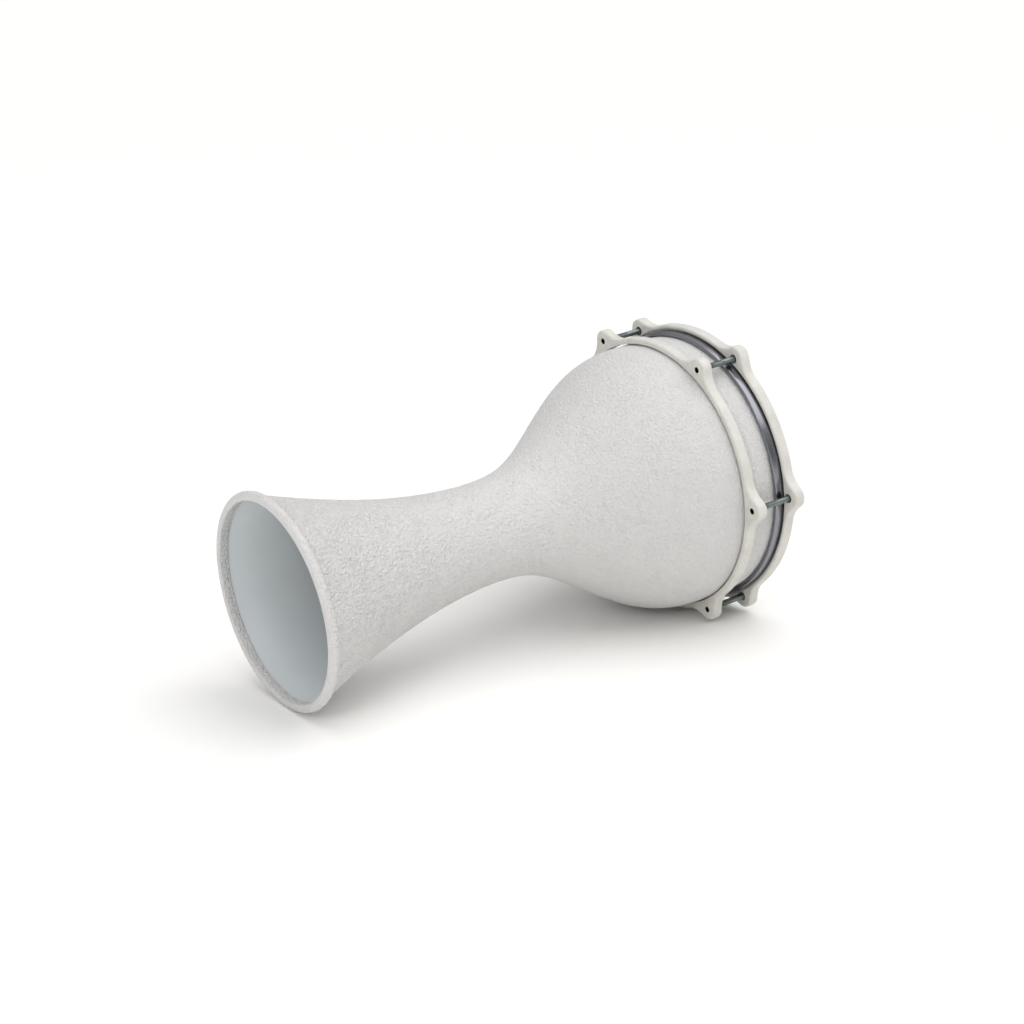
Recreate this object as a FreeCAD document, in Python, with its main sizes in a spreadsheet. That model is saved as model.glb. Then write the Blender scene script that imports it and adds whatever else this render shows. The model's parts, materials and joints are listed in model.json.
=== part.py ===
"""Goblet drum: a spun aluminium shell, a plastic head and two cast rings drawn together by socket screws.

Every piece is drawn about the drum's own axis, with height measured from the foot.
The finished drum is then laid on its side, so that the foot and the lower ring touch the ground
plane midway between two ears: +Z is up, +X runs from the foot towards the head.
"""
import FreeCAD, Part
import math
import os

import Sketcher

doc = FreeCAD.newDocument("goblet_drum")

# ---------------------------------------------------------------- driving sizes, in millimetres
SIZES = [
    # the shell's outline, given by the control points of its outer curve: first those of the stem,
    # by height above the foot, then those of the bowl, by height above the neck
    ("flare_height", 59.0),
    ("flare_radius", 66.4),
    ("stem_height", 130.0),
    ("stem_radius", 46.6),
    ("neck_height", 206.0),
    ("neck_radius", 40.1),
    ("throat_rise", 49.0),
    ("throat_radius", 48.7),
    ("bowl_rise", 136.0),
    ("bowl_swell", 3.9),
    ("wall_rise", 180.0),
    ("collar_length", 8.0),
    ("wall_radius", 115.0),
    ("wall_thickness", 2.5),
    ("wall_length", 49.0),
    ("rim_round", 1.2),
    # the rolled bead round the foot
    ("bead_radius", 89.8),
    ("bead_depth", 8.3),
    ("bead_overhang", 4.0),
    ("bead_round", 3.2),
    ("lip_width", 7.6),
    ("lip_round", 1.6),
    # the raised bead that the lower ring pulls against
    ("stop_height", 3.0),
    ("stop_rise", 2.0),
    # what both cast rings share
    ("screw_count", 6),
    ("screw_offset", 10.0),
    ("flank_radius", 24.0),
    ("casting_round", 2.0),
    ("edge_break", 0.6),
    # lower ring
    ("lower_ring_drop", 4.0),
    ("lower_ring_height", 10.0),
    ("lower_ring_width", 6.0),
    ("lower_ear_radius", 9.5),
    ("lower_bore_gap", 1.0),
    ("stop_clearance", 0.3),
    ("thread_clearance", 0.05),
    # counter hoop
    ("ring_gap", 30.3),
    ("counter_height", 10.0),
    ("counter_width", 8.5),
    ("counter_ear_radius", 10.5),
    ("counter_bore_gap", 2.0),
    ("counter_lap", 1.8),
    ("lap_clearance", 0.9),
    ("screw_hole_gap", 1.5),
    ("sink_gap", 0.75),
    ("sink_depth", 6.0),
    # head
    ("film_thickness", 0.25),
    ("film_clearance", 0.3),
    ("film_spread", 1.4),
    ("film_anchor_depth", 4.0),
    ("hoop_metal", 0.9),
    ("hoop_bend", 1.3),
    ("hoop_clearance", 0.4),
    ("hoop_slot", 1.9),
    ("hoop_height", 9.2),
    ("hoop_inner_height", 6.0),
    ("resin_depth", 4.6),
    # socket screws and washers
    ("screw_radius", 2.5),
    ("screw_length", 40.0),
    ("screw_chamfer", 0.6),
    ("cap_step", 1.75),
    ("cap_height", 5.0),
    ("socket_radius", 2.31),
    ("socket_depth", 2.5),
    ("washer_step", 0.75),
    ("washer_gap", 0.15),
    ("washer_thickness", 1.0),
]

sizes = doc.addObject("Spreadsheet::Sheet", "sizes")
for row, (name, value) in enumerate(SIZES, start=1):
    sizes.set(f"A{row}", name)
    sizes.set(f"B{row}", str(value))
    sizes.setAlias(f"B{row}", name)
doc.recompute()

# ---------------------------------------------------------------- heights and radii worked out from them
WORKED_OUT = [
    ("foot_wall_radius", "sizes.bead_radius - sizes.bead_overhang"),
    ("lip_radius", "sizes.bead_radius - sizes.lip_width"),
    ("throat_height", "sizes.neck_height + sizes.throat_rise"),
    ("bowl_height", "sizes.neck_height + sizes.bowl_rise"),
    ("bowl_radius", "sizes.wall_radius + sizes.bowl_swell"),
    ("wall_start", "sizes.neck_height + sizes.wall_rise"),
    ("collar_start", "wall_start - sizes.collar_length"),
    ("inner_wall", "sizes.wall_radius - sizes.wall_thickness"),
    ("shell_top", "wall_start + sizes.wall_length"),
    ("screw_circle", "sizes.wall_radius + sizes.screw_offset"),
    ("lower_ring_base", "wall_start - sizes.lower_ring_drop"),
    ("lower_ring_top", "lower_ring_base + sizes.lower_ring_height"),
    ("lower_ring_bore", "sizes.wall_radius + sizes.lower_bore_gap"),
    ("lower_ring_radius", "sizes.wall_radius + sizes.lower_ring_width"),
    ("stop_radius", "sizes.wall_radius + sizes.stop_rise"),
    ("tapped_radius", "sizes.screw_radius + sizes.thread_clearance"),
    ("cap_radius", "sizes.screw_radius + sizes.cap_step"),
    ("washer_radius", "cap_radius + sizes.washer_step"),
    ("washer_bore", "sizes.screw_radius + sizes.washer_gap"),
    ("screw_hole_radius", "sizes.screw_radius + sizes.screw_hole_gap"),
    ("sink_radius", "washer_radius + sizes.sink_gap"),
    ("counter_base", "lower_ring_top + sizes.ring_gap"),
    ("counter_top", "counter_base + sizes.counter_height"),
    ("counter_bore", "sizes.wall_radius + sizes.counter_bore_gap"),
    ("counter_radius", "sizes.wall_radius + sizes.counter_width"),
    ("hoop_top", "counter_base + sizes.counter_lap"),
    ("hoop_base", "hoop_top - sizes.hoop_height"),
    ("hoop_bore", "sizes.wall_radius + sizes.hoop_clearance"),
    ("slot_inner", "hoop_bore + sizes.hoop_metal"),
    ("slot_outer", "slot_inner + sizes.hoop_slot"),
    ("hoop_radius", "slot_outer + sizes.hoop_metal"),
    ("slot_floor", "hoop_base + sizes.hoop_metal"),
    ("resin_top", "slot_floor + sizes.resin_depth"),
    ("bend_radius", "min(sizes.hoop_bend; 0.4 * (hoop_radius - hoop_bore))"),
    ("film_corner", "sizes.wall_radius + sizes.film_clearance"),
    ("film_foot", "resin_top - sizes.film_anchor_depth"),
    ("film_spread_rate", "sizes.film_spread / (shell_top - film_foot)"),
    ("film_at_resin", "film_corner + (shell_top - resin_top) * film_spread_rate"),
    ("sink_floor", "counter_top - sizes.sink_depth"),
    ("screw_seat", "sink_floor + sizes.washer_thickness"),
    ("screw_tip", "screw_seat - sizes.screw_length"),
    ("ear_step", "360 / sizes.screw_count"),
    ("ring_round", "min(sizes.casting_round; min(sizes.lower_ring_height; sizes.counter_height) / 3)"),
]

heights = doc.addObject("App::VarSet", "heights")
for name, formula in WORKED_OUT:
    heights.addProperty("App::PropertyFloat", name)
    heights.setExpression(name, formula)

# ---------------------------------------------------------------- how the drum lies on the ground
# The ground plane touches the rounded edge of the foot bead and the rounded edge of a ring. Straight
# down lies midway between two ears, where either the ring itself or the ears beside it reach furthest.
LYING = [
    ("App::PropertyFloat", "foot_reach", "sizes.bead_radius - sizes.bead_round"),
    ("App::PropertyFloat", "ear_reach", "heights.screw_circle * cos(180deg / sizes.screw_count)"),
    ("App::PropertyFloat", "low_reach",
     "max(heights.lower_ring_radius; ear_reach + sizes.lower_ear_radius) - heights.ring_round"),
    ("App::PropertyFloat", "high_reach",
     "max(heights.counter_radius; ear_reach + sizes.counter_ear_radius) - heights.ring_round"),
    ("App::PropertyFloat", "round_step", "heights.ring_round - sizes.bead_round"),
    ("App::PropertyFloat", "low_run", "heights.lower_ring_base + round_step"),
    ("App::PropertyFloat", "high_run", "heights.counter_base + round_step"),
    ("App::PropertyFloat", "low_rise", "low_reach - foot_reach"),
    ("App::PropertyFloat", "high_rise", "high_reach - foot_reach"),
    ("App::PropertyAngle", "low_lean",
     "atan2(low_rise; low_run) + asin(round_step / hypot(low_run; low_rise))"),
    ("App::PropertyAngle", "high_lean",
     "atan2(high_rise; high_run) + asin(round_step / hypot(high_run; high_rise))"),
    ("App::PropertyAngle", "lean", "max(low_lean; high_lean)"),
    ("App::PropertyAngle", "turn", "90deg - lean"),
    ("App::PropertyFloat", "lift",
     "foot_reach * cos(lean) + sizes.bead_round - sizes.bead_round * sin(lean)"),
    ("App::PropertyFloat", "rear_end", "-(sizes.bead_radius - sizes.bead_round) * sin(lean)"),
    ("App::PropertyFloat", "front_end",
     "(heights.shell_top + sizes.film_thickness) * cos(lean) + heights.film_corner * sin(lean)"),
    ("App::PropertyFloat", "shift", "-(rear_end + front_end) / 2"),
]

lying = doc.addObject("App::VarSet", "lying")
for kind, name, formula in LYING:
    lying.addProperty(kind, name)
    lying.setExpression(name, formula)
doc.recompute()


# ---------------------------------------------------------------- small helpers
def value(formula):
    """The plain number that a formula gives with the present sizes."""
    result = sizes.evalExpression(formula)
    return float(getattr(result, "Value", result))


def lay_down(piece, across="0", aside="0"):
    """Bind a piece's Placement, so that it lies with the drum; its axis may stand off the drum's axis."""
    turned = FreeCAD.Rotation(FreeCAD.Vector(0, 1, 0), 80)
    piece.Placement = FreeCAD.Placement(FreeCAD.Vector(0, 0, 0), turned)
    piece.setExpression("Placement.Rotation.Angle", "lying.turn")
    piece.setExpression("Placement.Base.x", f"(lying.shift + cos(lying.turn) * ({across})) * 1mm")
    piece.setExpression("Placement.Base.y", f"({aside}) * 1mm")
    piece.setExpression("Placement.Base.z", f"(lying.lift - sin(lying.turn) * ({across})) * 1mm")


def new_body(label, across="0", aside="0"):
    """An empty body that lies with the drum."""
    body = doc.addObject("PartDesign::Body", label)
    body.Label = label
    lay_down(body, across, aside)
    return body


def new_sketch(body, name, role, height="0", spin="0"):
    """A sketch on one of the body's own planes, raised and turned by formulas."""
    sketch = body.newObject("Sketcher::SketchObject", name)
    plane = [item for item in body.Origin.OriginFeatures if item.Role == role][0]
    sketch.AttachmentSupport = [(plane, "")]
    sketch.MapMode = "FlatFace"
    upright = FreeCAD.Rotation(FreeCAD.Vector(0, 0, 1), 1)
    sketch.AttachmentOffset = FreeCAD.Placement(FreeCAD.Vector(0, 0, 0), upright)
    sketch.setExpression("AttachmentOffset.Base.z", f"({height}) * 1mm")
    sketch.setExpression("AttachmentOffset.Rotation.Angle", f"({spin}) * 1deg")
    return sketch


def bind(sketch, kind, where, formula, name):
    """Add a dimension to a sketch and bind it to a formula."""
    number = sketch.addConstraint(Sketcher.Constraint(kind, *where, value(formula)))
    sketch.renameConstraint(number, name)
    sketch.setExpression(f"Constraints.{name}", f"({formula}) * 1mm")


def pin_point(sketch, item, point, radius, height, name):
    """Hold one point of a sketch at a radius and a height."""
    for kind, formula, mark in (("DistanceX", radius, "radius"), ("DistanceY", height, "height")):
        if value(formula) == 0:
            axis = -2 if kind == "DistanceX" else -1
            sketch.addConstraint(Sketcher.Constraint("PointOnObject", item, point, axis))
        else:
            bind(sketch, kind, (-1, 1, item, point), formula, f"{name}_{mark}")


def draw_outline(sketch, corners):
    """A closed outline of straight lines through corners, each a (radius, height) pair of formulas."""
    points = [FreeCAD.Vector(value(radius), value(height), 0) for radius, height in corners]
    count = len(points)
    lines = [sketch.addGeometry(Part.LineSegment(points[n], points[(n + 1) % count]), False)
             for n in range(count)]
    for n, line in enumerate(lines):
        sketch.addConstraint(Sketcher.Constraint("Coincident", line, 2, lines[(n + 1) % count], 1))
    for n, (radius, height) in enumerate(corners):
        pin_point(sketch, lines[n], 1, radius, height, f"corner{n}")


def draw_curve(sketch, poles, name):
    """A smooth curve with its control points held at (radius, height) formulas."""
    curve = Part.BSplineCurve()
    curve.buildFromPoles([FreeCAD.Vector(value(r), value(z), 0) for r, z in poles], False, 3)
    item = sketch.addGeometry(curve, False)
    sketch.exposeInternalGeometry(item)
    for n, (radius, height) in enumerate(poles):
        pin_point(sketch, item + 1 + n, 3, radius, height, f"{name}{n}")
    return item


def revolve(body, sketch, name, kind="PartDesign::Revolution"):
    """Turn a sketch about the body's own axis."""
    feature = body.newObject(kind, name)
    feature.Profile = sketch
    feature.ReferenceAxis = (sketch, ["V_Axis"])
    feature.Angle = 360
    sketch.Visibility = False
    doc.recompute()
    return feature


def turned_piece(label, corners, across="0", aside="0"):
    """A body turned from one closed outline."""
    body = new_body(label, across, aside)
    sketch = new_sketch(body, f"{label}_outline", "XZ_Plane")
    draw_outline(sketch, corners)
    revolve(body, sketch, f"{label}_turned")
    return body


def round_edges(body, name, radius, wanted):
    """Round the edges of a body that a test picks out."""
    base = body.Tip
    chosen = [f"Edge{n}" for n, edge in enumerate(base.Shape.Edges, start=1) if wanted(edge)]
    if not chosen:
        raise ValueError(f"no edge to round for {name}")
    fillet = body.newObject("PartDesign::Fillet", name)
    fillet.Base = (base, chosen)
    fillet.setExpression("Radius", f"({radius}) * 1mm")
    base.Visibility = False
    doc.recompute()


def is_circle(radius, height):
    """A test for the edge that runs round the axis at a radius and a height."""
    goal_radius = value(radius)
    goal_height = value(height)

    def test(edge):
        curve = edge.Curve
        if not isinstance(curve, Part.Circle):
            return False
        on_axis = abs(curve.Center.x) + abs(curve.Center.y) < 0.01
        same_size = abs(curve.Radius - goal_radius) < 0.02
        return on_axis and same_size and abs(curve.Center.z - goal_height) < 0.02

    return test


def either(*tests):
    """A test that passes an edge if any of several tests does."""
    return lambda edge: any(test(edge) for test in tests)


# ---------------------------------------------------------------- shell
def outer_curve():
    """Control points of the shell's outer surface."""
    return [
        ("heights.foot_wall_radius", "sizes.bead_depth"),
        ("sizes.flare_radius", "sizes.flare_height"),
        ("sizes.stem_radius", "sizes.stem_height"),
        ("sizes.neck_radius", "sizes.neck_height"),
        ("sizes.throat_radius", "heights.throat_height"),
        ("heights.bowl_radius", "heights.bowl_height"),
        ("sizes.wall_radius", "heights.collar_start"),
        ("sizes.wall_radius", "heights.wall_start"),
    ]


def inner_curve():
    """The same points, one wall thickness nearer the axis, from the wall down to the foot."""
    return [(f"{radius} - sizes.wall_thickness", height) for radius, height in reversed(outer_curve())]


def join_chain(sketch, start_item, points, end_item):
    """Straight lines from the end of one curve, through points, to the start of another."""
    ends = [sketch.getPoint(start_item, 2)]
    ends += [FreeCAD.Vector(value(radius), value(height), 0) for radius, height in points]
    ends += [sketch.getPoint(end_item, 1)]
    before = start_item
    for n in range(len(ends) - 1):
        line = sketch.addGeometry(Part.LineSegment(ends[n], ends[n + 1]), False)
        sketch.addConstraint(Sketcher.Constraint("Coincident", before, 2, line, 1))
        if n < len(points):
            pin_point(sketch, line, 2, points[n][0], points[n][1], f"chain{start_item}_{n}")
        before = line
    sketch.addConstraint(Sketcher.Constraint("Coincident", before, 2, end_item, 1))


def make_shell():
    """The goblet: stem, bowl and straight wall in one spun sheet, with a rolled bead at the foot."""
    body = new_body("shell")
    sketch = new_sketch(body, "shell_outline", "XZ_Plane")
    outside = draw_curve(sketch, outer_curve(), "outer")
    inside = draw_curve(sketch, inner_curve(), "inner")
    rim = [("sizes.wall_radius", "heights.shell_top"), ("heights.inner_wall", "heights.shell_top")]
    bead = [("heights.lip_radius", "sizes.bead_depth"), ("heights.lip_radius", "0"),
            ("sizes.bead_radius", "0"), ("sizes.bead_radius", "sizes.bead_depth")]
    join_chain(sketch, outside, rim, inside)
    join_chain(sketch, inside, bead, outside)
    revolve(body, sketch, "shell_spun")

    stop = new_sketch(body, "stop_outline", "XZ_Plane")
    stop_base = "heights.lower_ring_top - sizes.stop_height"
    stop_top = "heights.lower_ring_top"
    root = "sizes.wall_radius - sizes.wall_thickness / 2"
    draw_outline(stop, [(root, stop_base), ("heights.stop_radius", stop_base),
                        ("heights.stop_radius", stop_top), (root, stop_top)])
    revolve(body, stop, "ring_stop")

    bead_edges = either(*[is_circle("sizes.bead_radius", height) for height in ("0", "sizes.bead_depth")])
    round_edges(body, "bead_rounding", "sizes.bead_round", bead_edges)
    round_edges(body, "lip_rounding", "sizes.lip_round", is_circle("heights.lip_radius", "0"))
    rim_edges = either(*[is_circle(radius, height) for radius, height in rim])
    round_edges(body, "rim_rounding", "sizes.rim_round", rim_edges)
    return body


# ---------------------------------------------------------------- cast rings
def draw_sector(sketch, bore, ring_radius, ear_radius, hole_radius):
    """One ear of a ring with half of the ring each side of it, and the screw hole in the ear."""
    half = value("heights.ear_step") / 2
    centre = FreeCAD.Vector(0, 0, 0)
    ring, ear = value(ring_radius), value(ear_radius)
    flank, circle = value("sizes.flank_radius"), value("heights.screw_circle")
    to_flank, flank_to_ear = ring + flank, flank + ear
    cosine = (to_flank ** 2 + circle ** 2 - flank_to_ear ** 2) / (2 * to_flank * circle)
    flank_angle = math.degrees(math.acos(cosine))
    up = FreeCAD.Vector(0, 0, 1)

    def polar(radius, degrees):
        return FreeCAD.Rotation(up, degrees).multVec(FreeCAD.Vector(radius, 0, 0))

    ear_centre = polar(circle, 0)
    flanks = [polar(to_flank, -flank_angle), polar(to_flank, flank_angle)]
    ring_marks = [polar(ring, degrees) for degrees in (-half, -flank_angle, flank_angle, half)]
    ear_marks = [ear_centre + (spot - ear_centre).normalize() * ear for spot in flanks]

    def arc(middle, radius, start, end):
        whole = Part.Circle(middle, up, radius)
        piece = Part.ArcOfCircle(whole, whole.parameter(start), whole.parameter(end))
        return sketch.addGeometry(piece, False)

    ring_low = arc(centre, ring, ring_marks[0], ring_marks[1])
    flank_low = arc(flanks[0], flank, ear_marks[0], ring_marks[1])
    ear_arc = arc(ear_centre, ear, ear_marks[0], ear_marks[1])
    flank_high = arc(flanks[1], flank, ring_marks[2], ear_marks[1])
    ring_high = arc(centre, ring, ring_marks[2], ring_marks[3])
    bore_arc = arc(centre, value(bore), polar(value(bore), -half), polar(value(bore), half))
    side_low = sketch.addGeometry(Part.LineSegment(polar(value(bore), -half), ring_marks[0]), False)
    side_high = sketch.addGeometry(Part.LineSegment(polar(value(bore), half), ring_marks[3]), False)
    hole = sketch.addGeometry(Part.Circle(ear_centre, up, value(hole_radius)), False)

    for item in (ring_low, ring_high, bore_arc):
        sketch.addConstraint(Sketcher.Constraint("Coincident", item, 3, -1, 1))
    joints = [(ring_low, 2, flank_low, 2), (flank_low, 1, ear_arc, 1),
              (ear_arc, 2, flank_high, 2), (flank_high, 1, ring_high, 1)]
    for first, first_end, second, second_end in joints:
        sketch.addConstraint(Sketcher.Constraint("Tangent", first, first_end, second, second_end))
    corners = [(side_low, 1, bore_arc, 1), (side_low, 2, ring_low, 1),
               (side_high, 1, bore_arc, 2), (side_high, 2, ring_high, 2), (hole, 3, ear_arc, 3)]
    for first, first_end, second, second_end in corners:
        sketch.addConstraint(Sketcher.Constraint("Coincident", first, first_end, second, second_end))
    sketch.addConstraint(Sketcher.Constraint("Equal", ring_low, ring_high))
    sketch.addConstraint(Sketcher.Constraint("Equal", flank_low, flank_high))
    bind(sketch, "Radius", (ring_low,), ring_radius, "ring_radius")
    bind(sketch, "Radius", (flank_low,), "sizes.flank_radius", "flank_radius")
    bind(sketch, "Radius", (ear_arc,), ear_radius, "ear_radius")
    bind(sketch, "Radius", (bore_arc,), bore, "bore")
    bind(sketch, "Radius", (hole,), hole_radius, "hole_radius")
    pin_point(sketch, ear_arc, 3, "heights.screw_circle", "0", "ear_centre")
    pin_side(sketch, side_low, bore, ring_radius, "-", "low")
    pin_side(sketch, side_high, bore, ring_radius, "", "high")


def pin_side(sketch, line, bore, ring_radius, sign, name):
    """Hold both ends of a sector's side on its ray from the axis."""
    for end, radius in ((1, bore), (2, ring_radius)):
        height = f"{sign}({radius}) * sin(heights.ear_step * 0.5deg)"
        bind(sketch, "DistanceY", (-1, 1, line, end), height, f"{name}_end{end}")


def pattern_round(body, features, name):
    """Repeat features round the drum's axis, once for each ear."""
    pattern = body.newObject("PartDesign::PolarPattern", name)
    pattern.Originals = features
    axis = [item for item in body.Origin.OriginFeatures if item.Role == "Z_Axis"][0]
    pattern.Axis = (axis, [""])
    pattern.Angle = 360
    pattern.setExpression("Occurrences", "sizes.screw_count")
    body.Tip = pattern
    doc.recompute()


def ring_edge_test(ring_radius, ear_radius, heights_wanted):
    """A test for the outer edges of an eared ring, which leaves out its bore and its screw holes."""
    ring, ear, circle = value(ring_radius), value(ear_radius), value("heights.screw_circle")
    step, count = value("heights.ear_step"), int(value("sizes.screw_count"))
    up = FreeCAD.Vector(0, 0, 1)
    turns = [FreeCAD.Rotation(up, step * (n + 0.5)) for n in range(count)]
    centres = [turn.multVec(FreeCAD.Vector(circle, 0, 0)) for turn in turns]

    def test(edge):
        low, high = edge.BoundBox.ZMin, edge.BoundBox.ZMax
        if high - low > 0.01 or all(abs(low - wanted) > 0.01 for wanted in heights_wanted):
            return False
        middle = edge.valueAt((edge.FirstParameter + edge.LastParameter) / 2)
        flat = FreeCAD.Vector(middle.x, middle.y, 0)
        clear_of_holes = all((flat - spot).Length > ear - 0.05 for spot in centres)
        return flat.Length > ring - 0.05 and clear_of_holes

    return test


def cast_ring(label, base, height, bore, ring_radius, ear_radius, hole_radius):
    """An eared ring with rounded outer edges."""
    body = new_body(label)
    sketch = new_sketch(body, f"{label}_sector", "XY_Plane", base, "heights.ear_step / 2")
    draw_sector(sketch, bore, ring_radius, ear_radius, hole_radius)
    pad = body.newObject("PartDesign::Pad", f"{label}_ear")
    pad.Profile = sketch
    pad.setExpression("Length", f"({height}) * 1mm")
    sketch.Visibility = False
    doc.recompute()
    pattern_round(body, [pad], f"{label}_ears")
    ends = [value(base), value(base) + value(height)]
    outer_edges = ring_edge_test(ring_radius, ear_radius, ends)
    round_edges(body, f"{label}_rounding", "heights.ring_round", outer_edges)
    return body


def is_ear_hole(radius, *wanted_heights):
    """A test for the rims of the screw holes of one radius at given heights."""
    goal_radius = value(radius)
    goal_heights = [value(height) for height in wanted_heights]

    def test(edge):
        curve = edge.Curve
        if not isinstance(curve, Part.Circle) or abs(curve.Radius - goal_radius) > 0.02:
            return False
        off_axis = math.hypot(curve.Center.x, curve.Center.y) > goal_radius
        return off_axis and any(abs(curve.Center.z - goal) < 0.02 for goal in goal_heights)

    return test


def cut_recess(body, name, bore, wall, floor, face, outward):
    """Widen a ring's bore from a floor out to one face, with a bevelled mouth; outward is a sign."""
    inward = "-" if outward == "+" else "+"
    inside, beyond = f"{bore} - 1", f"{face} {outward} 1"
    recess = new_sketch(body, name, "XZ_Plane")
    draw_outline(recess, [(inside, floor), (wall, floor), (wall, f"{face} {inward} sizes.edge_break"),
                          (f"{wall} + sizes.edge_break + 1", beyond), (inside, beyond)])
    revolve(body, recess, f"{name}_cut", "PartDesign::Groove")


def bevel_bore(body, name, bore, face, outward):
    """Bevel the mouth of a ring's bore at one face; outward is the sign that points out of it."""
    inward = "-" if outward == "+" else "+"
    inside, beyond = f"{bore} - 1", f"{face} {outward} 1"
    bevel = new_sketch(body, name, "XZ_Plane")
    draw_outline(bevel, [(inside, f"{face} {inward} (sizes.edge_break + 1)"), (inside, beyond),
                         (f"{bore} + sizes.edge_break + 1", beyond)])
    revolve(body, bevel, f"{name}_cut", "PartDesign::Groove")


def make_lower_ring():
    """The ring on the shell: its tapped ears take the screws, its recess sits against the stop."""
    base, top, bore = "heights.lower_ring_base", "heights.lower_ring_top", "heights.lower_ring_bore"
    body = cast_ring("lower_ring", base, "sizes.lower_ring_height", bore, "heights.lower_ring_radius",
                     "sizes.lower_ear_radius", "heights.tapped_radius")
    wall = "heights.stop_radius + sizes.stop_clearance"
    cut_recess(body, "stop_recess", bore, wall, f"{top} - sizes.stop_height", top, "+")
    bevel_bore(body, "lower_bore_bevel", bore, base, "-")
    hole_rims = is_ear_hole("heights.tapped_radius", base, top)
    round_edges(body, "lower_ring_edge_break", "sizes.edge_break", hole_rims)
    return body


def make_counter_hoop():
    """The ring that presses the head down: sunk seats for the screws, a recess over the head's hoop."""
    base, top, bore = "heights.counter_base", "heights.counter_top", "heights.counter_bore"
    body = cast_ring("counter_hoop", base, "sizes.counter_height", bore, "heights.counter_radius",
                     "sizes.counter_ear_radius", "heights.screw_hole_radius")
    wall = "heights.hoop_radius + sizes.lap_clearance"
    cut_recess(body, "hoop_recess", bore, wall, "heights.hoop_top", base, "-")
    bevel_bore(body, "counter_bore_bevel", bore, top, "+")
    sink = new_sketch(body, "screw_sink", "XY_Plane", "heights.counter_top", "heights.ear_step / 2")
    circle = Part.Circle(FreeCAD.Vector(value("heights.screw_circle"), 0, 0), FreeCAD.Vector(0, 0, 1),
                         value("heights.sink_radius"))
    item = sink.addGeometry(circle, False)
    bind(sink, "Radius", (item,), "heights.sink_radius", "sink_radius")
    pin_point(sink, item, 3, "heights.screw_circle", "0", "sink_centre")
    pocket = body.newObject("PartDesign::Pocket", "screw_sink_cut")
    pocket.Profile = sink
    pocket.setExpression("Length", "sizes.sink_depth * 1mm")
    sink.Visibility = False
    doc.recompute()
    pattern_round(body, [pocket], "screw_sinks")
    round_edges(body, "counter_hoop_edge_break", "sizes.edge_break", is_ear_hole("heights.sink_radius", top))
    return body


# ---------------------------------------------------------------- head
def make_head_film():
    """The plastic skin, folded down over the rim and held in the hoop's resin."""
    outside = "sizes.film_thickness"
    top = "heights.shell_top"
    foot_radius = "heights.film_corner + sizes.film_spread"
    body = turned_piece("head_film", [
        ("0", top),
        ("heights.film_corner", top),
        (foot_radius, "heights.film_foot"),
        (f"{foot_radius} + {outside}", "heights.film_foot"),
        (f"heights.film_corner + {outside}", f"{top} + {outside}"),
        ("0", f"{top} + {outside}"),
    ])
    bend = "sizes.rim_round + sizes.film_clearance"
    round_edges(body, "film_inner_bend", bend, is_circle("heights.film_corner", top))
    round_edges(body, "film_outer_bend", f"{bend} + {outside}",
                is_circle(f"heights.film_corner + {outside}", f"{top} + {outside}"))
    return body


def make_head_hoop():
    """The channel-section metal hoop at the head's edge, open towards the skin."""
    inner_top = "heights.hoop_base + sizes.hoop_inner_height"
    body = turned_piece("head_hoop", [
        ("heights.hoop_bore", "heights.hoop_base"),
        ("heights.hoop_radius", "heights.hoop_base"),
        ("heights.hoop_radius", "heights.hoop_top"),
        ("heights.slot_outer", "heights.hoop_top"),
        ("heights.slot_outer", "heights.slot_floor"),
        ("heights.slot_inner", "heights.slot_floor"),
        ("heights.slot_inner", inner_top),
        ("heights.hoop_bore", inner_top),
    ])
    low_edges = either(is_circle("heights.hoop_bore", "heights.hoop_base"),
                       is_circle("heights.hoop_radius", "heights.hoop_base"))
    round_edges(body, "hoop_bend", "heights.bend_radius", low_edges)
    return body


def make_hoop_resin():
    """The resin that locks the skin into the hoop."""
    film = "sizes.film_thickness"
    foot_radius = "heights.film_corner + sizes.film_spread"
    return turned_piece("hoop_resin", [
        ("heights.slot_inner", "heights.slot_floor"),
        ("heights.slot_outer", "heights.slot_floor"),
        ("heights.slot_outer", "heights.resin_top"),
        (f"heights.film_at_resin + {film}", "heights.resin_top"),
        (f"{foot_radius} + {film}", "heights.film_foot"),
        (foot_radius, "heights.film_foot"),
        ("heights.film_at_resin", "heights.resin_top"),
        ("heights.slot_inner", "heights.resin_top"),
    ])


# ---------------------------------------------------------------- screws and washers
def ear_place(number):
    """How far down and how far aside the axis of an ear stands, as formulas."""
    angle = f"({number} - 0.5) * heights.ear_step * 1deg"
    return f"heights.screw_circle * cos({angle})", f"heights.screw_circle * sin({angle})"


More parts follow.
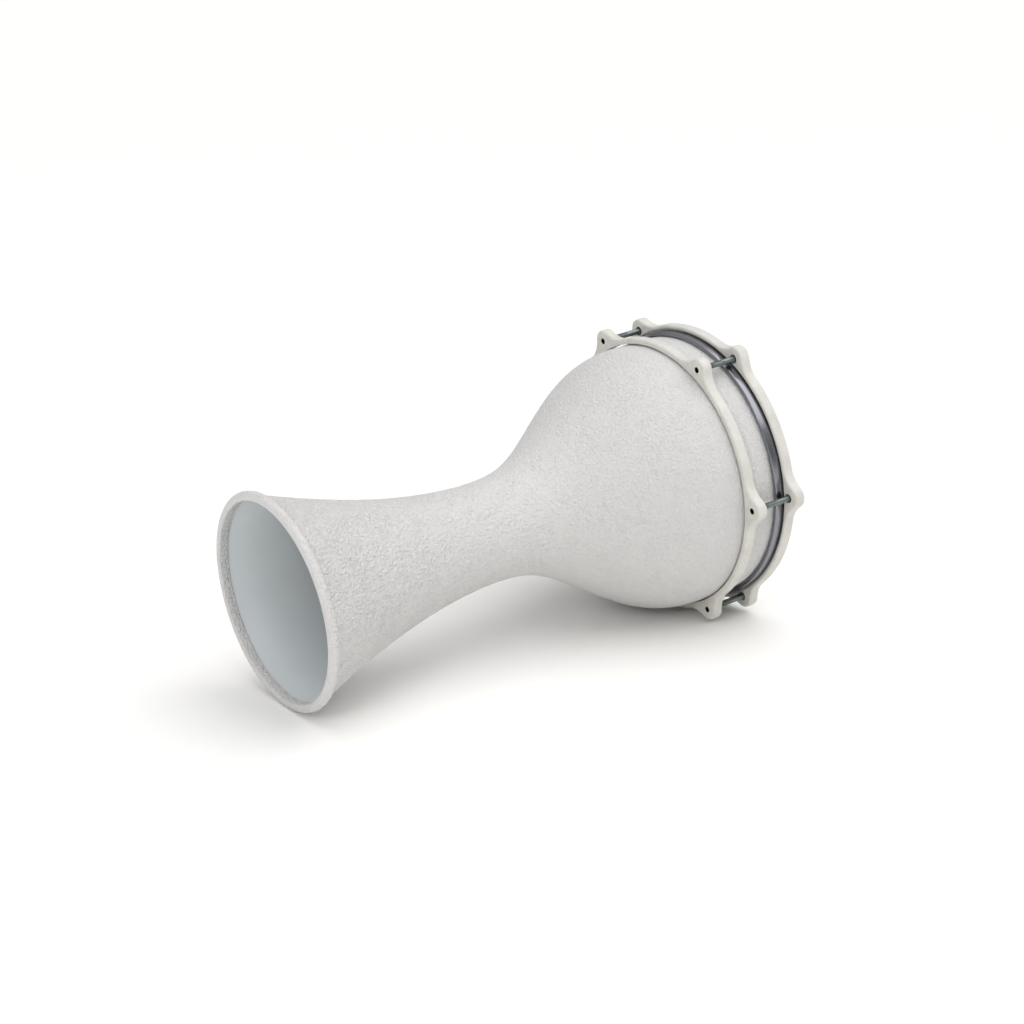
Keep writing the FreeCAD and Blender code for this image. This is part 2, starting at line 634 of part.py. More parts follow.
def make_screw(number):
    """A socket cap screw, with its thread left plain."""
    across, aside = ear_place(number)
    cap_top = "heights.screw_seat + sizes.cap_height"
    body = turned_piece(f"tension_screw_{number}", [
        ("0", "heights.screw_tip"),
        ("sizes.screw_radius - sizes.screw_chamfer", "heights.screw_tip"),
        ("sizes.screw_radius", "heights.screw_tip + sizes.screw_chamfer"),
        ("sizes.screw_radius", "heights.screw_seat"),
        ("heights.cap_radius", "heights.screw_seat"),
        ("heights.cap_radius", cap_top),
        ("0", cap_top),
    ], across, aside)
    socket = new_sketch(body, f"socket_{number}", "XY_Plane", cap_top)
    radius = value("sizes.socket_radius")
    spots = [FreeCAD.Rotation(FreeCAD.Vector(0, 0, 1), 60 * n).multVec(FreeCAD.Vector(radius, 0, 0))
             for n in range(6)]
    lines = [socket.addGeometry(Part.LineSegment(spots[n], spots[(n + 1) % 6]), False) for n in range(6)]
    guide = socket.addGeometry(Part.Circle(FreeCAD.Vector(0, 0, 0), FreeCAD.Vector(0, 0, 1), radius), True)
    for n in range(6):
        socket.addConstraint(Sketcher.Constraint("Coincident", lines[n], 2, lines[(n + 1) % 6], 1))
        socket.addConstraint(Sketcher.Constraint("PointOnObject", lines[n], 1, guide))
    for n in range(5):
        socket.addConstraint(Sketcher.Constraint("Equal", lines[n], lines[n + 1]))
    socket.addConstraint(Sketcher.Constraint("Coincident", guide, 3, -1, 1))
    socket.addConstraint(Sketcher.Constraint("PointOnObject", lines[0], 1, -1))
    bind(socket, "Radius", (guide,), "sizes.socket_radius", "socket_radius")
    pocket = body.newObject("PartDesign::Pocket", f"socket_cut_{number}")
    pocket.Profile = socket
    pocket.setExpression("Length", "sizes.socket_depth * 1mm")
    socket.Visibility = False
    doc.recompute()
    return body


def make_washer(number):
    """The flat washer under a screw's head."""
    across, aside = ear_place(number)
    return turned_piece(f"screw_washer_{number}", [
        ("heights.washer_bore", "heights.sink_floor"),
        ("heights.washer_radius", "heights.sink_floor"),
        ("heights.washer_radius", "heights.screw_seat"),
        ("heights.washer_bore", "heights.screw_seat"),
    ], across, aside)


# ---------------------------------------------------------------- build, check and write
pieces = [make_shell(), make_lower_ring(), make_counter_hoop(), make_head_film(), make_head_hoop(),
          make_hoop_resin()]
for ear in range(1, int(value("sizes.screw_count")) + 1):
    pieces.append(make_screw(ear))
    pieces.append(make_washer(ear))
doc.recompute()

for item in doc.Objects:
    if "Invalid" in item.State or "Error" in item.State:
        raise RuntimeError(f"{item.Label} did not rebuild: {item.State}")
for piece in pieces:
    if piece.Shape.isNull() or not piece.Shape.isValid():
        raise RuntimeError(f"{piece.Label} has no sound shape")

os.makedirs("parts", exist_ok=True)
for piece in pieces:
    piece.Shape.exportStep(f"parts/{piece.Label}.step")
    print(f"{piece.Label}: {len(piece.Shape.Solids)} solid, {piece.Shape.Volume / 1000:.2f} cm3")
print(f"lean {lying.lean.Value:.7f} degrees, shift {lying.shift:.6f}, lift {lying.lift:.6f}")
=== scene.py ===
# %% [markdown]
# # A goblet drum, lying on its side
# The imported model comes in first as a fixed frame: every solid stands where the design put it. This
# lesson gives the drum its real skin, piece by piece: a wrinkled coat over a spun aluminium shell,
# two cast rings, a metal hoop that holds the plastic head, and the screws that draw it all tight.
# Nothing here moves or resizes a part; a piece that needs finer shape stands in for its plain solid.

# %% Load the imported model
import json
import math

import bpy
import numpy as np
from mathutils import Matrix, Quaternion, Vector, noise


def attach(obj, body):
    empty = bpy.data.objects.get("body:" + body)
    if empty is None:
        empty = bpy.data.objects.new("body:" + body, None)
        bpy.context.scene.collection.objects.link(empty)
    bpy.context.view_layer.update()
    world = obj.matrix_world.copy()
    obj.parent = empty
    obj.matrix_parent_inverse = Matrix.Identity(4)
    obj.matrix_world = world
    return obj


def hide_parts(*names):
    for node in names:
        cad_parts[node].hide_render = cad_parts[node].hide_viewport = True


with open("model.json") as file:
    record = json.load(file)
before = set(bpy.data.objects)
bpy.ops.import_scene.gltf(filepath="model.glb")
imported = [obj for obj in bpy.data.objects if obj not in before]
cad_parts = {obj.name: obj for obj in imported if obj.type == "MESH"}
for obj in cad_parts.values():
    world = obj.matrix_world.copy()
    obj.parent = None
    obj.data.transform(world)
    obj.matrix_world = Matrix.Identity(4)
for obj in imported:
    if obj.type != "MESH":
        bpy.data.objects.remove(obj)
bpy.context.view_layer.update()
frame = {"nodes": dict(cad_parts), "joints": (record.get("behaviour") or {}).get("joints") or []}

nodes = frame["nodes"]

# %% [markdown]
# ## Camera
# A camera is a place, a point to look at, a lens and a little roll. A long lens from well back keeps
# the rings round and the foot in proportion.

# %% Camera
CAMERA_PLACE = Vector((-0.92371, -1.30932, 0.65985))
CAMERA_AIM = Vector((0.00643, -0.00574, 0.11983))
CAMERA_ROLL = math.radians(-0.52)
CAMERA_LENS = 72.17
SENSOR_WIDTH = 36.0

scene = bpy.context.scene
camera_data = bpy.data.cameras.new("camera")
camera_data.lens = CAMERA_LENS
camera_data.sensor_width = SENSOR_WIDTH
camera = bpy.data.objects.new("camera", camera_data)
scene.collection.objects.link(camera)
scene.camera = camera
camera.location = CAMERA_PLACE
camera.rotation_mode = "QUATERNION"
look = (CAMERA_AIM - CAMERA_PLACE).to_track_quat("-Z", "Y")
camera.rotation_quaternion = look @ Quaternion((0, 0, 1), CAMERA_ROLL)
print("camera stands", round((CAMERA_AIM - CAMERA_PLACE).length, 3), "m away")

# %% [markdown]
# ## Drum coordinates
# Nearly everything on a drum is round about one axis, so its shapes are easiest to give as a radius
# and a height above the foot, in millimetres. The drum lies at a slight lean, and the frame says how:
# the slide of the counter hoop gives the direction of the axis, the screws' hinges stand round it,
# and the shell's lowest point along it is the foot. The three directions are "down" (straight down
# from the axis), "side" and the axis itself.

# %% Drum coordinates
MM = 0.001
joints = frame["joints"]
hinges = [joint for joint in joints if joint["type"] == "hinge"]
axis = Vector(joints[0]["axis"]).normalized()
down = Vector((axis.z, 0.0, -axis.x))
side = Vector((0.0, 1.0, 0.0))
drum_axes = np.array([down, side, axis])


def vertex_places(piece):
    """All vertices of a piece, as rows of x, y, z in metres."""
    places = np.zeros(len(piece.data.vertices) * 3, np.float32)
    piece.data.vertices.foreach_get("co", places)
    return places.reshape(-1, 3).astype(float)


on_axis = np.mean([joint["pos_m"] for joint in hinges], axis=0)
foot_height = (vertex_places(nodes["shell"]) @ drum_axes[2]).min()
foot_centre = on_axis + drum_axes[2] * (foot_height - on_axis @ drum_axes[2])


def to_row(points):
    """Points in drum coordinates, in millimetres, as places in the row frame, in metres."""
    return foot_centre + np.asarray(points) @ (drum_axes * MM)


def to_drum(places):
    """Places in the row frame, in metres, in drum coordinates, in millimetres."""
    return (np.asarray(places) - foot_centre) @ drum_axes.T / MM


def height_span(node):
    """The lowest and highest height above the foot that a node reaches."""
    heights = to_drum(vertex_places(nodes[node]))[:, 2]
    return heights.min(), heights.max()


print("lean:", round(math.degrees(math.asin(axis.z)), 3), "degrees; drum height:",
      round(height_span("head_film")[1], 2), "mm")

# %% [markdown]
# ## Turning a mesh
# A potter's wheel or a lathe makes a round thing from one outline, and so does this: an outline is
# copied round the axis as a grid of points, and each cell of the grid is a face. Blender's Screw
# modifier would do that too, but with a grid made in code each point can still be moved by a formula,
# for a thread, a knurl or a hexagon. The outline always runs with the metal on its left.

# %% Mesh helpers
def new_piece(name, points, faces):
    """An object from points in drum coordinates, smooth except at its sharp edges."""
    mesh = bpy.data.meshes.new(name)
    mesh.from_pydata(to_row(points).tolist(), [], faces)
    mesh.update()
    piece = bpy.data.objects.new(name, mesh)
    scene.collection.objects.link(piece)
    smooth_between_edges(piece)
    return piece


SHARP_ANGLE = math.radians(32)


def smooth_between_edges(piece):
    """Smooth shading that stops where two faces meet at more than the sharp angle."""
    piece.data.shade_smooth()
    piece.data.set_sharp_from_angle(angle=SHARP_ANGLE)


def grid_faces(rows, columns, closed):
    """The faces of a grid that goes round in columns; its last row joins the first if it is closed."""
    first = np.arange(rows if closed else rows - 1)[:, None] * columns
    second = (first + columns) % (rows * columns)
    left = np.arange(columns)[None, :]
    right = (left + 1) % columns
    cells = np.stack([first + left, first + right, second + right, second + left], axis=2)
    return cells.reshape(-1, 4).tolist()


def turned(name, grid, closed=True, across=(0.0, 0.0)):
    """A piece from a grid of points about its own axis; an open grid gets a centre point at each end."""
    grid = np.asarray(grid, float)
    rows, columns = grid.shape[:2]
    faces = grid_faces(rows, columns, closed)
    points = grid.reshape(-1, 3)
    if not closed:
        middles = np.array([[0.0, 0.0, grid[0, :, 2].mean()], [0.0, 0.0, grid[-1, :, 2].mean()]])
        start, end = len(points), len(points) + 1
        last = (rows - 1) * columns
        around = [(n, (n + 1) % columns) for n in range(columns)]
        faces += [(start, after, before) for before, after in around]
        faces += [(end, last + before, last + after) for before, after in around]
        points = np.vstack([points, middles])
    return new_piece(name, points + [across[0], across[1], 0.0], faces)


def spin(name, outline, columns, across=(0.0, 0.0), closed=True):
    """A turned piece from an outline of (radius, height) pairs."""
    angles = np.linspace(0, math.tau, columns, endpoint=False)
    outline = np.asarray(outline, float)
    radius, height = outline[:, :1], outline[:, 1:]
    grid = np.stack([radius * np.cos(angles), radius * np.sin(angles), height + 0 * angles], axis=2)
    return turned(name, grid, closed, across)


def rounded(corners, steps=5):
    """A closed outline whose corners, each (radius, height, rounding), are replaced by arcs."""
    outline = []
    for n, (radius, height, rounding) in enumerate(corners):
        corner = Vector((radius, height))
        if rounding == 0:
            outline.append(corner)
            continue
        before = (Vector(corners[n - 1][:2]) - corner).normalized()
        after = (Vector(corners[(n + 1) % len(corners)][:2]) - corner).normalized()
        half = before.angle(after) / 2
        centre = corner + (before + after).normalized() * rounding / math.sin(half)
        start = corner + before * rounding / math.tan(half) - centre
        end = corner + after * rounding / math.tan(half) - centre
        sweep = start.angle_signed(end)
        for step in range(steps + 1):
            outline.append(centre + Matrix.Rotation(-sweep * step / steps, 2) @ start)
    return np.array(outline)


def piece_volume(piece):
    """The volume inside a closed mesh, in cubic centimetres; negative if the mesh is inside out."""
    places = vertex_places(piece)
    piece.data.calc_loop_triangles()
    corners = np.array([triangle.vertices[:] for triangle in piece.data.loop_triangles])
    a, b, c = places[corners[:, 0]], places[corners[:, 1]], places[corners[:, 2]]
    return float(np.einsum("ij,ij->i", a, np.cross(b, c)).sum() / 6 * 1e6)


def report(piece):
    """Say what was made."""
    print(f"{piece.name}: {len(piece.data.polygons)} faces, {piece_volume(piece):.2f} cm3")


def sink(piece, depths):
    """Move each vertex inwards along its normal by its own depth, in millimetres."""
    normals = np.zeros(len(piece.data.vertices) * 3, np.float32)
    piece.data.vertex_normals.foreach_get("vector", normals)
    moved = vertex_places(piece) - normals.reshape(-1, 3) * np.asarray(depths)[:, None] * MM
    piece.data.vertices.foreach_set("co", moved.astype(np.float32).ravel())
    piece.data.update()


# A seed moves the noise by a different amount along x, y and z, so that no two patterns line up.
SEED_SHIFT = (1.0, 1.7, 2.3)


def ripple(points, length, seed):
    """Smooth random heights from -1 to 1 at points in millimetres, with bumps two lengths apart."""
    shift = Vector([seed * share for share in SEED_SHIFT])
    return np.array([noise.noise(Vector(point) / length + shift) for point in points])


# %% [markdown]
# ## Paint and metal
# Each material starts from what the real one is. Colours are written as the hex values that a paint
# maker would give, and one function turns them into the linear light that Blender works in. One more
# function adds a node with its settings and links, which keeps each material's recipe short.

# %% Material helpers
def linear(hex_colour):
    """The linear colour of an sRGB hex value, fully opaque."""
    parts = [int(hex_colour[n:n + 2], 16) / 255 for n in (1, 3, 5)]
    curve = [part / 12.92 if part <= 0.04045 else ((part + 0.055) / 1.055) ** 2.4 for part in parts]
    return curve + [1.0]


def add_node(tree, kind, inputs=None, **settings):
    """Add a node: settings are its own properties, inputs its values or links by socket."""
    node = tree.nodes.new(kind)
    for name, setting in settings.items():
        setattr(node, name, setting)
    for name, source in (inputs or {}).items():
        if isinstance(source, bpy.types.NodeSocket):
            tree.links.new(source, node.inputs[name])
        else:
            node.inputs[name].default_value = source
    return node


def new_material(name, roughness, metallic=0.0, colour="#808080"):
    """A material with the constants of its shader set."""
    material = bpy.data.materials.new(name)
    material.use_nodes = True
    shader = material.node_tree.nodes["Principled BSDF"]
    shader.inputs["Base Color"].default_value = linear(colour)
    shader.inputs["Roughness"].default_value = roughness
    shader.inputs["Metallic"].default_value = metallic
    return material, material.node_tree, shader


def per_mm(length):
    """The texture scale whose pattern repeats about every so many millimetres."""
    return 1 / (length * MM)


# Sockets of the Mix node for colours, which has one set of sockets for each kind of value.
MIX_FACTOR, MIX_FIRST, MIX_SECOND, MIX_RESULT = 0, 6, 7, 2

# %% [markdown]
# ### Wrinkle coat
# The shell wears a thick sprayed texture paint. As it dries its skin shrinks faster than the paint
# below, so it draws up into small lumps with winding creases between them. A pattern image would show
# seams on a flared shape; noise in three dimensions has none. One noise makes the lumps. The creases
# follow the lines where a second noise passes through its middle value: such lines wind about and
# never cross, as real creases do. The coat is thickest near the foot, so the relief grows towards it,
# but the rim that the drum stands on is rubbed smooth.

# %% Wrinkle coat
LUMP_WIDTH = 2.3
CREASE_SPACING = 3.6
PATCH_WIDTH = 14.0
WRINKLE_DEPTH = 0.0030
# How far a crease lowers the paint, as a share of the lumps' own range.
CREASE_SHARE = 0.16
# Heights above the foot, in metres: the coat is full up to the first, thinnest from the second on,
# and rubbed thin up to the third.
FULL_COAT, THIN_COAT, RUBBED_COAT = 0.02, 0.26, 0.009
foot_at = float(foot_centre @ drum_axes[2])


def axis_height(tree, place):
    """The node output that gives a point's distance along the drum's axis."""
    along = add_node(tree, "ShaderNodeVectorMath", {0: place, 1: axis}, operation="DOT_PRODUCT")
    return along.outputs["Value"]


def wrinkle_coat():
    material, tree, shader = new_material("sprayed_wrinkle_paint", 0.6)
    place = add_node(tree, "ShaderNodeTexCoord").outputs["Object"]
    lumps = add_node(tree, "ShaderNodeTexNoise", {
        "Vector": place, "Scale": per_mm(LUMP_WIDTH), "Detail": 1.5, "Roughness": 0.6})
    winding = add_node(tree, "ShaderNodeTexNoise", {
        "Vector": place, "Scale": per_mm(CREASE_SPACING), "Detail": 1.0})
    patches = add_node(tree, "ShaderNodeTexNoise", {
        "Vector": place, "Scale": per_mm(PATCH_WIDTH), "Detail": 2.0})
    from_middle = add_node(tree, "ShaderNodeMath", {0: winding.outputs[0], 1: 0.5}, operation="SUBTRACT")
    nearness = add_node(tree, "ShaderNodeMath", {0: from_middle.outputs[0]}, operation="ABSOLUTE")
    crease = add_node(tree, "ShaderNodeMapRange", {
        "Value": nearness.outputs[0], "From Min": 0.0, "From Max": 0.05, "To Min": 1.0, "To Max": 0.0},
        interpolation_type="SMOOTHSTEP")
    depth = add_node(tree, "ShaderNodeMapRange", {
        "Value": patches.outputs[0], "From Min": 0.35, "From Max": 0.6, "To Min": 0.25, "To Max": 1.0})
    creases = add_node(tree, "ShaderNodeMath", {0: crease.outputs[0], 1: depth.outputs[0]},
                       operation="MULTIPLY")
    cut = add_node(tree, "ShaderNodeMath", {
        0: creases.outputs[0], 1: -CREASE_SHARE, 2: lumps.outputs[0]}, operation="MULTIPLY_ADD")
    along = axis_height(tree, place)
    thinning = add_node(tree, "ShaderNodeMapRange", {
        "Value": along, "From Min": foot_at + FULL_COAT, "From Max": foot_at + THIN_COAT,
        "To Min": 1.0, "To Max": 0.5})
    worn = add_node(tree, "ShaderNodeMapRange", {
        "Value": along, "From Min": foot_at, "From Max": foot_at + RUBBED_COAT,
        "To Min": 0.3, "To Max": 1.0})
    thickness = add_node(tree, "ShaderNodeMath", {0: thinning.outputs[0], 1: worn.outputs[0]},
                         operation="MULTIPLY")
    relief = add_node(tree, "ShaderNodeMath", {0: cut.outputs[0], 1: thickness.outputs[0]},
                      operation="MULTIPLY")
    bump = add_node(tree, "ShaderNodeBump", {"Height": relief.outputs[0], "Distance": WRINKLE_DEPTH})
    tint = add_node(tree, "ShaderNodeMix", {
        MIX_FACTOR: patches.outputs[0], MIX_FIRST: linear("#D0CECC"), MIX_SECOND: linear("#D5D4D4")},
        data_type="RGBA")
    # Painted shade: where the relief is low, in the creases and between the lumps, the colour is mixed up to
    # 14% towards dark grey #8F8B88, standing in for the shade that falls in those hollows.
    height = add_node(tree, "ShaderNodeMapRange", {
        "Value": cut.outputs[0], "From Min": 0.1, "From Max": 0.55, "To Min": 0.14, "To Max": 0.0})
    colour = add_node(tree, "ShaderNodeMix", {
        MIX_FACTOR: height.outputs[0], MIX_FIRST: tint.outputs[MIX_RESULT],
        MIX_SECOND: linear("#8F8B88")},
        data_type="RGBA")
    tree.links.new(colour.outputs[MIX_RESULT], shader.inputs["Base Color"])
    tree.links.new(bump.outputs[0], shader.inputs["Normal"])
    return material


coat_paint = wrinkle_coat()
print("coat: lumps", LUMP_WIDTH, "mm apart,", WRINKLE_DEPTH / MM, "mm deep at most")

# %% [markdown]
# ### Inside paint
# The inside is not textured: a smooth grey enamel, sprayed on over the lathe's spinning marks. They
# are faint rings about the axis, so their noise reads only the height along the axis. Deeper in the
# stem the colour is darkened towards grey: painted shade, for the hollow that little light reaches.

# %% Inside enamel
# Heights above the foot, in metres, at which the painted shade in the enamel begins and at which it is full.
ENAMEL_SHADE_START, ENAMEL_SHADE_FULL = 0.02, 0.15


def inside_enamel():
    material, tree, shader = new_material("grey_sprayed_enamel", 0.5)
    place = add_node(tree, "ShaderNodeTexCoord").outputs["Object"]
    rings = add_node(tree, "ShaderNodeTexNoise", {
        "W": axis_height(tree, place), "Scale": per_mm(2.5), "Detail": 2.0}, noise_dimensions="1D")
    spray = add_node(tree, "ShaderNodeTexNoise", {"Vector": place, "Scale": per_mm(1.4), "Detail": 2.0})
    both = add_node(tree, "ShaderNodeMath", {0: rings.outputs[0], 1: 0.6, 2: spray.outputs[0]},
                    operation="MULTIPLY_ADD")
    bump = add_node(tree, "ShaderNodeBump", {"Height": both.outputs[0], "Distance": 0.00006})
    clouds = add_node(tree, "ShaderNodeTexNoise", {
        "Vector": place, "Scale": per_mm(40.0), "Detail": 3.0})
    cloudy = add_node(tree, "ShaderNodeMix", {
        MIX_FACTOR: clouds.outputs[0], MIX_FIRST: linear("#C8CED1"), MIX_SECOND: linear("#D0D5D7")},
        data_type="RGBA")
    # Painted shade: further up the stem the enamel is mixed towards dark grey #6C7172, as the hollow gets
    # less light.
    deep = add_node(tree, "ShaderNodeMapRange", {
        "Value": axis_height(tree, place), "From Min": foot_at + ENAMEL_SHADE_START,
        "From Max": foot_at + ENAMEL_SHADE_FULL})
    colour = add_node(tree, "ShaderNodeMix", {
        MIX_FACTOR: deep.outputs[0], MIX_FIRST: cloudy.outputs[MIX_RESULT],
        MIX_SECOND: linear("#6C7172")},
        data_type="RGBA")
    tree.links.new(colour.outputs[MIX_RESULT], shader.inputs["Base Color"])
    tree.links.new(bump.outputs[0], shader.inputs["Normal"])
    return material


enamel = inside_enamel()
print("inside: enamel over spinning marks")

# %% [markdown]
# ### Powder coat
# The cast rings are powder coated: a dry powder is baked until it flows, which leaves a warm white
# satin skin with a fine orange peel and rounds off what it covers.

# %% Powder coat
def powder_coat():
    material, tree, shader = new_material("powder_coat_warm_white", 0.48)
    place = add_node(tree, "ShaderNodeTexCoord").outputs["Object"]
    peel = add_node(tree, "ShaderNodeTexNoise", {
        "Vector": place, "Scale": per_mm(2.0), "Detail": 2.0, "Roughness": 0.5})
    casting = add_node(tree, "ShaderNodeTexNoise", {
        "Vector": place, "Scale": per_mm(7.0), "Detail": 1.0})
    both = add_node(tree, "ShaderNodeMath", {0: casting.outputs[0], 1: 2.0, 2: peel.outputs[0]},
                    operation="MULTIPLY_ADD")
    bump = add_node(tree, "ShaderNodeBump", {"Height": both.outputs[0], "Distance": 0.00045})
    smudges = add_node(tree, "ShaderNodeTexNoise", {
        "Vector": place, "Scale": per_mm(16.0), "Detail": 4.0})
    handled = add_node(tree, "ShaderNodeMapRange", {
        "Value": smudges.outputs[0], "From Min": 0.35, "From Max": 0.7})
    colour = add_node(tree, "ShaderNodeMix", {
        MIX_FACTOR: handled.outputs[0], MIX_FIRST: linear("#D8D6D0"), MIX_SECOND: linear("#CCCAC3")},
        data_type="RGBA")
    tree.links.new(colour.outputs[MIX_RESULT], shader.inputs["Base Color"])
    tree.links.new(bump.outputs[0], shader.inputs["Normal"])
    return material


ring_paint = powder_coat()
print("rings: powder coat")

# %% [markdown]
# ### Metals
# The hoop is rolled from aluminium strip and polished, so the fine scratches left by the wheel run
# round it; real ones are far finer, and these are as fine as they can be and still show in a close
# view. The holes tapped in the castings are bare metal, set nearly black as painted shade so that
# they read as dark holes. The screws and washers are steel with a dull zinc plate, which has cloudy
# patches where the crystals differ. A metal's colour is its reflection, and everything round it here
# is white, so all are set as dark as they look in use.

# %% Metals
def polished_metal():
    material, tree, shader = new_material("polished_aluminium", 0.2, metallic=1.0, colour="#8B8C92")
    place = add_node(tree, "ShaderNodeTexCoord").outputs["Object"]
    lines = add_node(tree, "ShaderNodeTexNoise", {
        "W": axis_height(tree, place), "Scale": per_mm(0.35), "Detail": 2.0}, noise_dimensions="1D")
    bump = add_node(tree, "ShaderNodeBump", {"Height": lines.outputs[0], "Distance": 0.00002})
    haze = add_node(tree, "ShaderNodeTexNoise", {"Vector": place, "Scale": per_mm(9.0), "Detail": 3.0})
    rough = add_node(tree, "ShaderNodeMapRange", {
        "Value": haze.outputs[0], "To Min": 0.12, "To Max": 0.3})
    tree.links.new(rough.outputs[0], shader.inputs["Roughness"])
    tree.links.new(bump.outputs[0], shader.inputs["Normal"])
    return material


def zinc_plate(name, dark, light):
    material, tree, shader = new_material(name, 0.36, metallic=1.0)
    place = add_node(tree, "ShaderNodeTexCoord").outputs["Object"]
    crystals = add_node(tree, "ShaderNodeTexVoronoi", {"Vector": place, "Scale": per_mm(0.9)})
    clouds = add_node(tree, "ShaderNodeTexNoise", {"Vector": place, "Scale": per_mm(3.0), "Detail": 3.0})
    colour = add_node(tree, "ShaderNodeMix", {
        MIX_FACTOR: clouds.outputs[0], MIX_FIRST: linear(dark), MIX_SECOND: linear(light)},
        data_type="RGBA")
    rough = add_node(tree, "ShaderNodeMapRange", {
        "Value": crystals.outputs[0], "To Min": 0.28, "To Max": 0.45})
    tree.links.new(colour.outputs[MIX_RESULT], shader.inputs["Base Color"])
    tree.links.new(rough.outputs[0], shader.inputs["Roughness"])
    return material


def hole_wall_shade():
    material, tree, shader = new_material("bare_cast_aluminium_painted_shade", 0.45, metallic=1.0)
    place = add_node(tree, "ShaderNodeTexCoord").outputs["Object"]
    shade_mottle = add_node(tree, "ShaderNodeTexNoise", {"Vector": place, "Scale": per_mm(1.5), "Detail": 2.0})
    # Painted shade: the hole walls are coloured nearly black, #2B2A28 to #4A4844, so that the tapped holes
    # read dark.
    colour = add_node(tree, "ShaderNodeMix", {
        MIX_FACTOR: shade_mottle.outputs[0], MIX_FIRST: linear("#2B2A28"), MIX_SECOND: linear("#4A4844")},
        data_type="RGBA")
    tree.links.new(colour.outputs[MIX_RESULT], shader.inputs["Base Color"])
    return material


hoop_metal = polished_metal()
hole_shade_metal = hole_wall_shade()
screw_metal = zinc_plate("zinc_plated_screw_steel", "#656E6D", "#8B9493")
washer_metal = zinc_plate("zinc_plated_washer_steel", "#7E8685", "#9CA3A2")
print("metals:", hoop_metal.name, screw_metal.name, washer_metal.name)

# %% [markdown]
# ### Plastic and resin
# The head is a polyester film sprayed matt white, slightly rough to the fingers. Its grit is a tenth
# of a millimetre, and is drawn coarser so that it shows. The resin that holds it in the hoop is
# poured, so it is glossy and dark.

# %% Head film and resin
def sprayed_film():
    material, tree, shader = new_material("matt_polyester_film", 0.55)
    place = add_node(tree, "ShaderNodeTexCoord").outputs["Object"]
    speckle = add_node(tree, "ShaderNodeTexNoise", {
        "Vector": place, "Scale": per_mm(0.8), "Detail": 2.0})
    bump = add_node(tree, "ShaderNodeBump", {"Height": speckle.outputs[0], "Distance": 0.00005})
    clouds = add_node(tree, "ShaderNodeTexNoise", {
        "Vector": place, "Scale": per_mm(30.0), "Detail": 3.0})
    colour = add_node(tree, "ShaderNodeMix", {
        MIX_FACTOR: clouds.outputs[0], MIX_FIRST: linear("#EAE9E5"), MIX_SECOND: linear("#E0DFDA")},
        data_type="RGBA")
    tree.links.new(colour.outputs[MIX_RESULT], shader.inputs["Base Color"])
    tree.links.new(bump.outputs[0], shader.inputs["Normal"])
    return material


def poured_resin():
    material, tree, shader = new_material("poured_epoxy", 0.22)
    place = add_node(tree, "ShaderNodeTexCoord").outputs["Object"]
    flow = add_node(tree, "ShaderNodeTexNoise", {"Vector": place, "Scale": per_mm(5.0), "Detail": 2.0})
    colour = add_node(tree, "ShaderNodeMix", {
        MIX_FACTOR: flow.outputs[0], MIX_FIRST: linear("#2F2E2D"), MIX_SECOND: linear("#484542")},
        data_type="RGBA")
    tree.links.new(colour.outputs[MIX_RESULT], shader.inputs["Base Color"])
    return material


film = sprayed_film()
resin = poured_resin()
print("head:", film.name, resin.name)

# %% [markdown]
# ## Shell
# One sheet of aluminium is spun over a former: a flared stem, a narrow neck, a round bowl and a short
# straight wall, with its edge rolled into a bead at the foot. Its side is one smooth curve, so it is a
# B-spline with a control point wherever the sheet changes its bend. The wall is 2.5 mm thick.

# %% The shell's curve
STEM_POLES = [(85.8, 8.3), (66.4, 59.0), (46.6, 130.0), (40.1, 206.0)]
BOWL_POLES = [(48.7, 255.0), (118.9, 342.0), (115.0, 378.0), (115.0, 386.0)]
WALL_RADIUS = BOWL_POLES[-1][0]
SHEET = 2.5
SIDE_POINTS = 400


def spline_points(poles, count):
    """Points along the clamped cubic B-spline of some control points, by repeated blending."""
    poles = np.array(poles)
    spans = len(poles) - 3
    knots = np.concatenate([[0] * 3, np.arange(spans + 1), [spans] * 3])
    points = []
    for place in np.linspace(0, spans, count):
        span = min(int(place), spans - 1) + 3
        blend = [poles[span - 3 + n] for n in range(4)]
        for level in range(1, 4):
            for n in range(3, level - 1, -1):
                low, high = knots[span - 3 + n], knots[span + n + 1 - level]
                share = (place - low) / (high - low)
                blend[n] = (1 - share) * blend[n - 1] + share * blend[n]
        points.append(blend[3])
    return np.array(points)


def even_steps(outline, step):
    """The same outline with its points about a step apart."""
    lengths = np.hypot(*np.diff(outline, axis=0).T)
    travel = np.concatenate([[0], np.cumsum(lengths)])
    marks = np.linspace(0, travel[-1], max(2, round(travel[-1] / step) + 1))
    return np.stack([np.interp(marks, travel, outline[:, n]) for n in (0, 1)], axis=1)


def soften(outline, passes):
    """Round off an outline's corners, as a thick coat does; its ends stay."""
    outline = outline.copy()
    for _ in range(passes):
        outline[1:-1] = (outline[:-2] + 2 * outline[1:-1] + outline[2:]) / 4
    return outline


side_curve = spline_points(STEM_POLES + BOWL_POLES, SIDE_POINTS)
print("neck radius:", round(side_curve[:, 0].min(), 2), "mm")
print("bowl radius:", round(side_curve[:, 0].max(), 2), "mm")

# %% [markdown]
# The outside is coated, so its outline is softened before it is turned, and then the coat's larger
# unevenness is pressed into the mesh: lumps about 8 mm apart, dents about 4 mm apart and slow waves
# from the spray gun. Everything is pressed inwards, so the drum stays inside its own size. The
# wrinkles between those lumps are finer than the mesh, and the paint's own relief carries them.

# %% Shell
BEAD_RADIUS, BEAD_DEPTH, BEAD_ROUND = 89.8, 8.3, 3.2
LIP_RADIUS, LIP_ROUND, LIP_BREAK = 82.2, 1.6, 0.3
RIM_ROUND, RIM_WALL = 1.2, 1.0
OUTSIDE_STEP, INSIDE_STEP, SHELL_COLUMNS = 2.1, 12.0, 360
